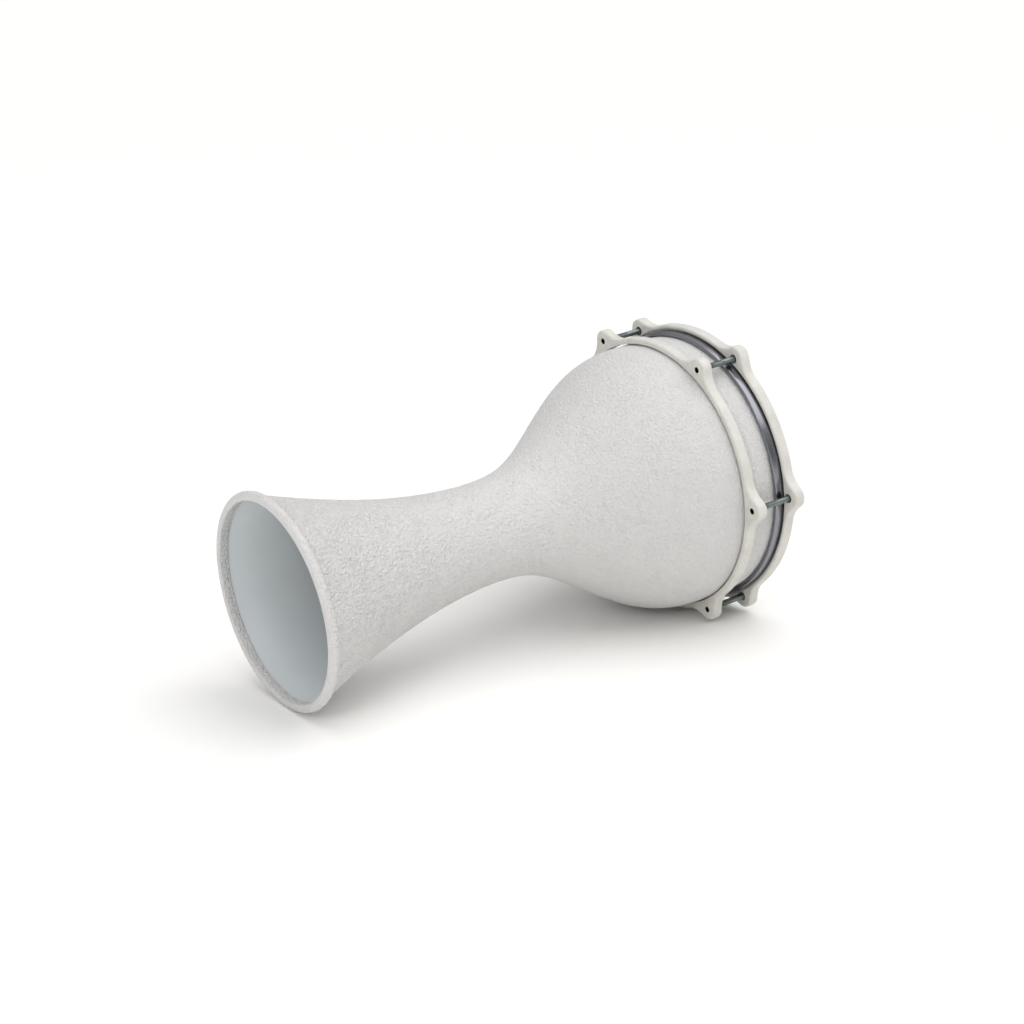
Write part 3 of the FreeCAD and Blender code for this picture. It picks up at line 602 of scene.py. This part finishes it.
# A thick coat rounds what it covers: so many softening passes over points so far apart.
SOFT_STEP, SOFT_PASSES = 0.5, 24
# The last rows of faces, round the bead's lip, are coated like the outside.
LIP_ROWS = 9
# Nothing is pressed in below this height, so the drum keeps its length.
PLAIN_FOOT = 0.5
# The coat's larger unevenness: half the distance between its bumps, and its depth.
LUMP_LENGTH, LUMP_DEPTH = 4.0, 0.35
DENT_LENGTH, DENT_DEPTH = 2.1, 0.55
WAVE_LENGTH, WAVE_DEPTH = 34.0, 0.25
# Heights above the foot, and how much of the lumps and dents there is at each.
RELIEF_HEIGHTS, RELIEF_SHARES = (0.0, 6.0, 150.0, 300.0, 380.0), (0.3, 1.0, 0.8, 0.65, 0.3)


def quarter(centre, radius, start_degrees, steps=6):
    """A quarter circle of an outline, anticlockwise."""
    angles = np.radians(np.linspace(start_degrees, start_degrees + 90, steps))
    return np.stack([centre[0] + radius * np.cos(angles), centre[1] + radius * np.sin(angles)], axis=1)


def shell_outline():
    """The outside and the inside of the sheet, from the foot up and back down."""
    top = height_span("shell")[1]
    core = BEAD_RADIUS - BEAD_ROUND
    rim_outside = quarter((WALL_RADIUS - RIM_ROUND, top - RIM_ROUND), RIM_ROUND, 0)
    outside = np.vstack([
        [(LIP_RADIUS + LIP_ROUND, 0.0)],
        quarter((core, BEAD_ROUND), BEAD_ROUND, -90),
        quarter((core, BEAD_DEPTH - BEAD_ROUND), BEAD_ROUND, 0),
        side_curve,
        rim_outside,
    ])
    outside = even_steps(soften(even_steps(outside, SOFT_STEP), SOFT_PASSES), OUTSIDE_STEP)
    inside_wall = WALL_RADIUS - SHEET
    inside_curve = (side_curve - [SHEET, 0.0])[::-1]
    inside = np.vstack([
        quarter((inside_wall + RIM_ROUND, top - RIM_ROUND), RIM_ROUND, 90),
        even_steps(np.vstack([[(inside_wall, top - RIM_ROUND - RIM_WALL)], inside_curve]), INSIDE_STEP),
        [(LIP_RADIUS + LIP_BREAK, BEAD_DEPTH), (LIP_RADIUS, BEAD_DEPTH - LIP_BREAK),
         (LIP_RADIUS, BEAD_DEPTH / 2)],
        quarter((LIP_RADIUS + LIP_ROUND, LIP_ROUND), LIP_ROUND, 180)[:-1],
    ])
    return outside, inside


def hollows(points, length, seed):
    """Smooth random depths from 0 to 0.8, with flat tops where the noise is high."""
    return np.maximum(0.3 - 0.5 * ripple(points, length, seed), 0.0)


def coat_relief(points):
    """How deep the coat's larger unevenness is at points of the outside."""
    lumps = hollows(points, LUMP_LENGTH, 3.0)
    dents = hollows(points, DENT_LENGTH, 8.0)
    waves = hollows(points, WAVE_LENGTH, 5.0)
    share = np.interp(points[:, 2], RELIEF_HEIGHTS, RELIEF_SHARES)
    return (LUMP_DEPTH * lumps + DENT_DEPTH * dents) * share + WAVE_DEPTH * waves


def make_shell():
    outside, inside = shell_outline()
    shell = spin("coated_shell", np.vstack([outside, inside]), SHELL_COLUMNS)
    points = to_drum(vertex_places(shell))
    coated = np.arange(len(points)) < len(outside) * SHELL_COLUMNS
    coated &= points[:, 2] > PLAIN_FOOT
    depths = np.zeros(len(points))
    depths[coated] = coat_relief(points[coated])
    sink(shell, depths)
    shell.data.materials.append(coat_paint)
    shell.data.materials.append(enamel)
    rows = np.arange(len(shell.data.polygons)) // SHELL_COLUMNS
    painted_inside = (rows >= len(outside)) & (rows < len(outside) + len(inside) - LIP_ROWS)
    shell.data.polygons.foreach_set("material_index", painted_inside.astype(np.int32))
    return shell


shell = make_shell()
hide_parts("shell")
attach(shell, "drum")
report(shell)

# %% [markdown]
# ## Cast rings
# Both rings are sand cast with six ears. Seen along the axis, an ear is a round boss on the screw
# circle, joined to the ring by a hollow flank on each side. Three arcs that touch each other give that
# edge, so the outline is worked out once for one ear and turned round for the rest. The ring's section
# is then carried round between its bore and that edge. The casting is never quite true: a slow
# unevenness is pressed into it, and the holes are drilled afterwards with a Boolean, as on the bench.

# %% Ring outline
SCREW_CIRCLE = float(np.mean([np.hypot(*to_drum(joint["pos_m"])[:2]) for joint in hinges]))
EARS = len(hinges)
FLANK_RADIUS = 24.0
CASTING_ROUND = 2.0
RING_POINTS, FLANK_POINTS, EAR_POINTS = 14, 16, 32


def arc_points(centre, radius, start, end, count):
    """Points of an arc and the directions from its centre, without its last point."""
    angles = start + (end - start) * np.arange(count) / count
    away = np.stack([np.cos(angles), np.sin(angles)], axis=1)
    return np.asarray(centre) + radius * away, away


def ear_sector(ring_radius, ear_radius):
    """The edge of one ear and of half the ring on each side, with its outward directions."""
    reach, touch = ring_radius + FLANK_RADIUS, FLANK_RADIUS + ear_radius
    cosine = (reach ** 2 + SCREW_CIRCLE ** 2 - touch ** 2) / (2 * reach * SCREW_CIRCLE)
    turn = math.acos(cosine)
    half = math.pi / EARS
    ear = np.array([SCREW_CIRCLE, 0.0])
    parts = [arc_points((0, 0), ring_radius, -half, -turn, RING_POINTS)]
    low = reach * np.array([math.cos(turn), -math.sin(turn)])
    high = low * [1, -1]
    bend = math.atan2(*(ear - low)[::-1])
    points, away = arc_points(low, FLANK_RADIUS, math.pi - turn, bend, FLANK_POINTS)
    parts.append((points, -away))
    start = math.atan2(*(low - ear)[::-1])
    parts.append(arc_points(ear, ear_radius, start, -start, EAR_POINTS))
    points, away = arc_points(high, FLANK_RADIUS, -bend, turn - math.pi, FLANK_POINTS)
    parts.append((points, -away))
    parts.append(arc_points((0, 0), ring_radius, turn, half, RING_POINTS))
    return np.vstack([part[0] for part in parts]), np.vstack([part[1] for part in parts])


def ring_edge(ring_radius, ear_radius):
    """The whole edge of a ring, ear after ear."""
    points, away = ear_sector(ring_radius, ear_radius)
    edges, outwards = [], []
    for ear in range(EARS):
        angle = (ear + 0.5) * math.tau / EARS
        turn = np.array([[math.cos(angle), math.sin(angle)], [-math.sin(angle), math.cos(angle)]])
        edges.append(points @ turn)
        outwards.append(away @ turn)
    return np.vstack(edges), np.vstack(outwards)


print("screw circle:", round(SCREW_CIRCLE * 2, 2), "mm across,", EARS, "ears")

# %% Ring section
FACE_ROWS, ROUND_ROWS, WALL_ROWS = 7, 6, 4
EDGE_BREAK = 0.6
HOLE_COLUMNS = 40
# A cutter stands out of both faces by this much.
CUTTER_SPARE = 1.0
# A face belongs to a hole's wall if its middle is no further out than this beyond the hole's radius.
WALL_SLACK = 0.1
# The unevenness of a casting: half the distance between its bumps, and its depth.
CAST_WAVE, CAST_WAVE_DEPTH = 9.0, 0.2
CAST_GRAIN, CAST_GRAIN_DEPTH = 3.2, 0.16


def ring_grid(edge, outward, base, top, bore, inner_wall):
    """A ring's section carried round its edge. inner_wall lists (radius, height) down the bore."""
    bearing = np.arctan2(edge[:, 1], edge[:, 0])
    spokes = np.stack([np.cos(bearing), np.sin(bearing)], axis=1)

    def row(flat, height):
        return np.column_stack([flat, np.full(len(flat), height)])

    low_face = (spokes * (bore + EDGE_BREAK), edge - outward * CASTING_ROUND)
    high_face = (edge - outward * CASTING_ROUND, spokes * (inner_wall[0][0] + EDGE_BREAK))
    corner = [(CASTING_ROUND * (1 - math.sin(angle)), CASTING_ROUND * (1 - math.cos(angle)))
              for angle in np.radians(np.linspace(15, 90, ROUND_ROWS))]
    rows = []
    for share in np.linspace(0, 1, FACE_ROWS):
        rows.append(row(low_face[0] * (1 - share) + low_face[1] * share, base))
    for inset, rise in corner:
        rows.append(row(edge - outward * inset, base + rise))
    for height in np.linspace(base + CASTING_ROUND, top - CASTING_ROUND, WALL_ROWS + 2)[1:-1]:
        rows.append(row(edge, height))
    for inset, rise in reversed(corner):
        rows.append(row(edge - outward * inset, top - rise))
    for share in np.linspace(0, 1, FACE_ROWS):
        rows.append(row(high_face[0] * (1 - share) + high_face[1] * share, top))
    for radius, height in inner_wall:
        rows.append(row(spokes * radius, height))
    return np.array(rows)


def drill(piece, cutter):
    """Cut one mesh out of another, and drop the cutter."""
    cut = piece.modifiers.new("drilling", "BOOLEAN")
    cut.operation = "DIFFERENCE"
    cut.solver = "EXACT"
    cut.object = cutter
    plain = piece.data
    drilled = piece.evaluated_get(bpy.context.evaluated_depsgraph_get())
    piece.data = bpy.data.meshes.new_from_object(drilled)
    piece.data.name = piece.name
    piece.modifiers.clear()
    bpy.data.meshes.remove(plain)
    bpy.data.objects.remove(cutter)
    smooth_between_edges(piece)


def drill_ears(piece, outline):
    """Drill one hole of a given outline through each ear."""
    for joint in hinges:
        spot = to_drum(joint["pos_m"])
        drill(piece, spin("cutter", outline, HOLE_COLUMNS, spot[:2], closed=False))


def bare_holes(piece, radius, metal):
    """Give the walls of the holes in a ring's ears their own material, a dark metal that paints the shade in
    the holes.
    """
    piece.data.materials.append(metal)
    slot = len(piece.data.materials) - 1
    centres = np.zeros(len(piece.data.polygons) * 3, np.float32)
    piece.data.polygons.foreach_get("center", centres)
    flat = to_drum(centres.reshape(-1, 3).astype(float))[:, :2]
    spots = np.array([to_drum(joint["pos_m"])[:2] for joint in hinges])
    nearest = np.hypot(*(flat[:, None] - spots[None]).transpose(2, 0, 1)).min(axis=1)
    slots = np.where(nearest < radius + WALL_SLACK, slot, 0)
    piece.data.polygons.foreach_set("material_index", slots.astype(np.int32))


def uneven_casting(piece, seed):
    """Press a slow unevenness into a casting."""
    points = to_drum(vertex_places(piece))
    waves = hollows(points, CAST_WAVE, seed)
    grain = hollows(points, CAST_GRAIN, seed + 4)
    sink(piece, CAST_WAVE_DEPTH * waves + CAST_GRAIN_DEPTH * grain)


# %% [markdown]
# ### Lower ring
# The lower ring slides up the bowl until its recess meets the raised bead on the shell's wall. Its
# ears are tapped for the screws, whose tips show as dark holes from the foot.

# %% Lower ring
LOWER_RADIUS, LOWER_EAR = WALL_RADIUS + 6.0, 9.5
LOWER_BORE, STOP_WALL, STOP_HEIGHT = WALL_RADIUS + 1.0, WALL_RADIUS + 2.3, 3.0
TAPPED_RADIUS, MOUTH_BEVEL, MOUTH_DEPTH = 2.55, 0.5, 0.6


def make_lower_ring():
    base, top = height_span("lower_ring")
    edge, outward = ring_edge(LOWER_RADIUS, LOWER_EAR)
    wall = [(STOP_WALL, top - EDGE_BREAK), (STOP_WALL, top - STOP_HEIGHT),
            (LOWER_BORE, top - STOP_HEIGHT), (LOWER_BORE, (base + top) / 2),
            (LOWER_BORE, base + EDGE_BREAK)]
    ring = turned("cast_lower_ring", ring_grid(edge, outward, base, top, LOWER_BORE, wall))
    uneven_casting(ring, 11.0)
    mouth = TAPPED_RADIUS + MOUTH_BEVEL
    hole = [(mouth, base - CUTTER_SPARE), (mouth, base), (TAPPED_RADIUS, base + MOUTH_DEPTH),
            (TAPPED_RADIUS, top - MOUTH_DEPTH), (mouth, top), (mouth, top + CUTTER_SPARE)]
    drill_ears(ring, hole)
    ring.data.materials.append(ring_paint)
    # The hole walls get the dark metal: painted shade, so the holes read dark from the foot.
    bare_holes(ring, TAPPED_RADIUS, hole_shade_metal)
    return ring


lower_ring = make_lower_ring()
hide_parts("lower_ring")
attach(lower_ring, "drum")
report(lower_ring)

# %% [markdown]
# ### Counter hoop
# The upper ring presses on the head's metal hoop. Its ears have clearance holes below and wide sinks
# above, so that the screw heads lie flush and don't catch a player's fingers.

# %% Counter hoop
COUNTER_RADIUS, COUNTER_EAR = WALL_RADIUS + 8.5, 10.5
COUNTER_BORE, HOOP_WALL, HOOP_LAP = WALL_RADIUS + 2.0, WALL_RADIUS + 5.0, 1.8
SCREW_HOLE, SINK_RADIUS, SINK_DEPTH, SINK_BEVEL = 4.0, 5.75, 6.0, 0.5


def make_counter_hoop():
    base, top = height_span("counter_hoop")
    edge, outward = ring_edge(COUNTER_RADIUS, COUNTER_EAR)
    wall = [(COUNTER_BORE, top - EDGE_BREAK), (COUNTER_BORE, (base + top) / 2),
            (COUNTER_BORE, base + HOOP_LAP), (HOOP_WALL, base + HOOP_LAP),
            (HOOP_WALL, base + EDGE_BREAK)]
    ring = turned("cast_counter_hoop", ring_grid(edge, outward, base, top, HOOP_WALL, wall))
    uneven_casting(ring, 23.0)
    floor, mouth = top - SINK_DEPTH, SINK_RADIUS + SINK_BEVEL
    hole = [(SCREW_HOLE, base - CUTTER_SPARE), (SCREW_HOLE, floor), (SINK_RADIUS, floor),
            (SINK_RADIUS, top - SINK_BEVEL), (mouth, top), (mouth, top + CUTTER_SPARE)]
    drill_ears(ring, hole)
    ring.data.materials.append(ring_paint)
    return ring


counter_hoop = make_counter_hoop()
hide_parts("counter_hoop")
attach(counter_hoop, "hoop_set")
report(counter_hoop)

# %% [markdown]
# ## Head
# A drum's plastic head is a cup of thin film. Its edge is folded into a channel of metal strip and
# held there by poured resin. All three are round, so each is one outline, spun. The channel's two
# lower corners are bent on a roller, which is why they are rounder than its cut edges.

# %% Head hoop
HOOP_BORE, HOOP_RADIUS = WALL_RADIUS + 0.4, WALL_RADIUS + 4.1
STRIP = 0.9
HOOP_BEND = 1.3
HOOP_COLUMNS = 288
SHORT_LEG = 6.0
ROLLER_WAVE, ROLLER_DEPTH = 14.0, 0.05
# The strip's ends meet in a groove: its bearing and width in degrees, and its depth.
JOINT_BEARING, JOINT_WIDTH, JOINT_DEPTH = 158.0, 1.3, 0.12


def make_head_hoop():
    base, top = height_span("head_hoop")
    slot = (HOOP_BORE + STRIP, HOOP_RADIUS - STRIP)
    floor, leg = base + STRIP, base + SHORT_LEG
    cut_round = STRIP * 0.3
    outline = rounded([
        (HOOP_BORE, base, HOOP_BEND), (HOOP_RADIUS, base, HOOP_BEND), (HOOP_RADIUS, top, cut_round),
        (slot[1], top, cut_round), (slot[1], floor, HOOP_BEND - STRIP),
        (slot[0], floor, HOOP_BEND - STRIP), (slot[0], leg, cut_round), (HOOP_BORE, leg, cut_round)], steps=8)
    hoop = spin("rolled_head_hoop", outline, HOOP_COLUMNS)
    points = to_drum(vertex_places(hoop))
    bearing = np.degrees(np.arctan2(points[:, 1], points[:, 0]))
    depths = ROLLER_DEPTH * (0.5 - 0.5 * ripple(points, ROLLER_WAVE, 31.0))
    depths += np.where(abs(bearing - JOINT_BEARING) < JOINT_WIDTH / 2, JOINT_DEPTH, 0.0)
    sink(hoop, depths)
    hoop.data.materials.append(hoop_metal)
    return hoop


head_hoop = make_head_hoop()
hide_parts("head_hoop")
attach(head_hoop, "drum")
report(head_hoop)

# %% Head film and resin
FILM = 0.25
FILM_CORNER = WALL_RADIUS + 0.3
FILM_SPREAD = 1.4
FILM_BEND = 1.5
# Rings of points on the flat head: the first one's radius, the gap to the bend, and their number.
HEAD_MIDDLE, HEAD_MARGIN, HEAD_RINGS = 4.0, 3.0, 9
RESIN_DEPTH, ANCHOR_DEPTH = 4.6, 4.0
# The resin's round lower corners, its small gap to metal and film, and how it creeps up what it wets.
POOL_ROUND, RESIN_GAP, WALL_CREEP, FILM_CREEP = 0.4, 0.02, 0.25, 0.1


def film_radius(height, top, foot):
    """The inner radius of the film's skirt at a height."""
    return FILM_CORNER + FILM_SPREAD * (top - height) / (top - foot)


def make_head():
    top = height_span("shell")[1]
    floor = height_span("head_hoop")[0] + STRIP
    resin_top = floor + RESIN_DEPTH
    foot = resin_top - ANCHOR_DEPTH
    skirt = FILM_CORNER + FILM_SPREAD
    cup = rounded([
        (HEAD_MIDDLE, top, 0), (FILM_CORNER, top, FILM_BEND), (skirt, foot, 0), (skirt + FILM, foot, 0),
        (FILM_CORNER + FILM, top + FILM, FILM_BEND + FILM), (HEAD_MIDDLE, top + FILM, 0)], steps=7)
    turn = int(np.argmax(cup[:, 0] > FILM_CORNER - FILM_BEND - 0.5))
    flat_end = FILM_CORNER - FILM_BEND - HEAD_MARGIN
    spokes = [(radius, top) for radius in np.linspace(HEAD_MIDDLE, flat_end, HEAD_RINGS)]
    back = [(radius, top + FILM) for radius, _ in reversed(spokes)]
    head = spin("plastic_head", np.vstack([spokes, cup[turn:-1], back]), HOOP_COLUMNS, closed=False)
    head.data.materials.append(film)
    inner, outer = HOOP_BORE + STRIP + RESIN_GAP, HOOP_RADIUS - STRIP - RESIN_GAP
    at_top = film_radius(resin_top, top, foot)
    pool = spin("poured_hoop_resin", [
        (inner, floor + POOL_ROUND), (inner + POOL_ROUND, floor + RESIN_GAP),
        (outer - POOL_ROUND, floor + RESIN_GAP), (outer, floor + POOL_ROUND),
        (outer, resin_top + WALL_CREEP), ((outer + at_top + FILM) / 2, resin_top - FILM_CREEP),
        (at_top + FILM + RESIN_GAP, resin_top + FILM_CREEP), (skirt + FILM + RESIN_GAP, foot),
        (skirt - RESIN_GAP, foot), (at_top - RESIN_GAP, resin_top), (inner, resin_top)], HOOP_COLUMNS)
    pool.data.materials.append(resin)
    return head, pool


plastic_head, hoop_resin = make_head()
for piece, node, slot in ((plastic_head, "head_film", "drumhead"), (hoop_resin, "hoop_resin", "resin")):
    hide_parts(node)
    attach(piece, "drum")
    report(piece)

# %% [markdown]
# ## Socket screws and washers
# The screws are M5 by 40 mm, with a coarse 0.8 mm thread over the lower 22 mm and a plain shank above
# it. A thread is a ridge that climbs one pitch in each turn, so its radius depends on both height and
# bearing: the grid is fine enough to follow it, and its depth fades out at both ends. The cap's side
# is knurled by a cutter with a tooth every 15 degrees, and its socket is a hexagon sunk in the top.

# %% Socket screws
SCREW_RADIUS, THREAD_PITCH, THREAD_DEPTH, THREAD_LENGTH = 2.5, 0.8, 0.45, 22.0
CAP_RADIUS, CAP_HEIGHT = 4.25, 5.0
SOCKET_RADIUS, SOCKET_DEPTH = 2.31, 2.5
SCREW_COLUMNS = 48
ROWS_PER_PITCH = 8
# The screw's skin lies this far inside its full radius.
SKIN = 0.02
RUNOUT_PITCHES = 1.5
TIP_BEVEL, TIP_SLOPE = 0.5, 0.7
KNURL_DEPTH, CAP_EDGE = 0.11, 0.55


def screw_grid(tip, seat):
    """The grid of a socket screw about its own axis, from its tip up and down into the socket."""
    angles = np.linspace(0, math.tau, SCREW_COLUMNS, endpoint=False)
    rows = []

    def add_row(radius, height):
        across = radius * np.array([np.cos(angles), np.sin(angles)])
        rows.append(np.column_stack([across[0], across[1], height + 0 * angles]))

    add_row(SCREW_RADIUS - 1.0, tip)
    add_row(SCREW_RADIUS - 0.6, tip + 0.02)
    for n in range(round(THREAD_LENGTH / THREAD_PITCH * ROWS_PER_PITCH) + 1):
        height = 0.1 + n * THREAD_PITCH / ROWS_PER_PITCH
        phase = (height / THREAD_PITCH - angles / math.tau) % 1.0
        groove = 1 - np.abs(2 * phase - 1)
        fade = min(1.0, (THREAD_LENGTH - height) / THREAD_PITCH / RUNOUT_PITCHES + 0.05)
        point = max(0.0, TIP_BEVEL - height * TIP_SLOPE)
        radius = SCREW_RADIUS - SKIN - THREAD_DEPTH * groove * max(fade, 0.0)
        add_row(np.minimum(radius, SCREW_RADIUS - point), tip + height)
    add_row(SCREW_RADIUS - SKIN, tip + THREAD_LENGTH + 0.5)
    add_row(SCREW_RADIUS - SKIN, seat - 0.3)
    add_row(SCREW_RADIUS + 0.15, seat)
    add_row(CAP_RADIUS - 0.35, seat)
    add_row(CAP_RADIUS - 0.1, seat + 0.3)
    knurl = KNURL_DEPTH * (np.arange(SCREW_COLUMNS) % 2)
    for height in (0.45, CAP_HEIGHT / 2, CAP_HEIGHT - 0.85):
        add_row(CAP_RADIUS - knurl, seat + height)
    for angle in np.radians([15, 45, 70, 90]):
        add_row(CAP_RADIUS - CAP_EDGE * (1 - math.cos(angle)) - knurl * math.cos(angle) ** 2,
                seat + CAP_HEIGHT - CAP_EDGE * (1 - math.sin(angle)))
    from_flat = (angles + math.pi / 6) % (math.pi / 3) - math.pi / 6
    hexagon = SOCKET_RADIUS * math.cos(math.pi / 6) / np.cos(from_flat)
    add_row(SOCKET_RADIUS + 0.25, seat + CAP_HEIGHT)
    add_row(hexagon, seat + CAP_HEIGHT - 0.2)
    add_row(hexagon, seat + CAP_HEIGHT - SOCKET_DEPTH)
    add_row(hexagon * 0.85, seat + CAP_HEIGHT - SOCKET_DEPTH - 0.15)
    add_row(0.3, seat + CAP_HEIGHT - SOCKET_DEPTH - 0.9)
    return np.array(rows)


for number, joint in enumerate(hinges, start=1):
    tip, cap_top = height_span(f"tension_screw_{number}")
    spot = to_drum(joint["pos_m"])
    screw = turned(f"socket_screw_{number}", screw_grid(tip, cap_top - CAP_HEIGHT), False, spot[:2])
    screw.data.materials.append(screw_metal)
    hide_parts(f"tension_screw_{number}")
    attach(screw, joint["child"])
    report(screw)

# %% [markdown]
# The washers are stamped from sheet: the punch leaves a rolled edge above and a sharp one below.

# %% Washers
WASHER_RADIUS, WASHER_BORE, WASHER_COLUMNS = 5.0, 2.65, 64

for number, joint in enumerate(hinges, start=1):
    base, top = height_span(f"screw_washer_{number}")
    spot = to_drum(joint["pos_m"])
    outline = rounded([(WASHER_BORE, base, 0.08), (WASHER_RADIUS, base, 0.08), (WASHER_RADIUS, top, 0.3),
                       (WASHER_BORE, top, 0.2)], steps=4)
    washer = spin(f"stamped_washer_{number}", outline, WASHER_COLUMNS, spot[:2])
    washer.data.materials.append(washer_metal)
    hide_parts(f"screw_washer_{number}")
    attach(washer, "hoop_set")
print("washers:", len(hinges))

# %% [markdown]
# ## Studio
# The floor is a wide sheet of white paper. The light comes mostly from above, as from a ceiling of
# soft boxes: a sky that is bright overhead and dim lower down, with a low white wall all round at
# the horizon, and one wide distant lamp. One soft box stands to the left of the foot. It shines into
# the mouth and grazes the flare, and this brings out the coat's relief. The plain "Standard"
# transform keeps the whites white.

# %% Studio
FLOOR_REACH = 30.0


def make_floor():
    mesh = bpy.data.meshes.new("floor")
    corners = [(x * FLOOR_REACH, y * FLOOR_REACH, 0) for x, y in ((-1, -1), (1, -1), (1, 1), (-1, 1))]
    mesh.from_pydata(corners, [], [(0, 1, 2, 3)])
    floor = bpy.data.objects.new("floor", mesh)
    scene.collection.objects.link(floor)
    paper, tree, shader = new_material("white_paper", 0.9, colour="#F6F5F3")
    place = add_node(tree, "ShaderNodeTexCoord").outputs["Object"]
    fibres = add_node(tree, "ShaderNodeTexNoise", {"Vector": place, "Scale": per_mm(4.0), "Detail": 3.0})
    bump = add_node(tree, "ShaderNodeBump", {"Height": fibres.outputs[0], "Distance": 0.00005})
    tree.links.new(bump.outputs[0], shader.inputs["Normal"])
    mesh.materials.append(paper)


def make_sky():
    world = bpy.data.worlds.new("studio")
    world.use_nodes = True
    tree = world.node_tree
    place = add_node(tree, "ShaderNodeTexCoord").outputs["Generated"]
    upward = add_node(tree, "ShaderNodeSeparateXYZ", {0: place})
    ceiling = add_node(tree, "ShaderNodeMapRange", {
        "Value": upward.outputs["Z"], "From Min": 0.0, "From Max": 0.8, "To Min": 0.1, "To Max": 0.79})
    wall = add_node(tree, "ShaderNodeMapRange", {
        "Value": upward.outputs["Z"], "From Min": 0.0, "From Max": 0.2, "To Min": 0.95, "To Max": 0.0})
    glow = add_node(tree, "ShaderNodeMath", {
        0: ceiling.outputs[0], 1: wall.outputs[0]}, operation="MAXIMUM")
    tree.links.new(glow.outputs[0], tree.nodes["Background"].inputs["Strength"])
    tree.nodes["Background"].inputs["Color"].default_value = linear("#FFFFFF")
    scene.world = world


def soft_box(name, place, aim, width, height, watts):
    """A large area lamp that faces a point."""
    lamp = bpy.data.lights.new(name, "AREA")
    lamp.shape = "RECTANGLE"
    lamp.size = width
    lamp.size_y = height
    lamp.energy = watts
    holder = bpy.data.objects.new(name, lamp)
    holder.location = place
    holder.rotation_mode = "QUATERNION"
    holder.rotation_quaternion = (Vector(aim) - Vector(place)).to_track_quat("-Z", "Y")
    scene.collection.objects.link(holder)


def overhead_light(direction, strength, spread_degrees):
    """A distant lamp as wide as a ceiling of soft boxes, so that the floor is lit evenly."""
    lamp = bpy.data.lights.new("overhead_light", "SUN")
    lamp.energy = strength
    lamp.angle = math.radians(spread_degrees)
    holder = bpy.data.objects.new("overhead_light", lamp)
    holder.rotation_mode = "QUATERNION"
    holder.rotation_quaternion = (-Vector(direction)).to_track_quat("-Z", "Y")
    scene.collection.objects.link(holder)


make_floor()
make_sky()
overhead_light(direction=(0.25, -0.25, 0.93), strength=1.6, spread_degrees=75.0)
soft_box("side_soft_box", place=(-1.3, -0.85, 0.95), aim=(-0.1, 0.0, 0.12),
         width=0.45, height=0.45, watts=5.5)
scene.view_settings.view_transform = "Standard"
print("studio: floor, sky, overhead light and one soft box")
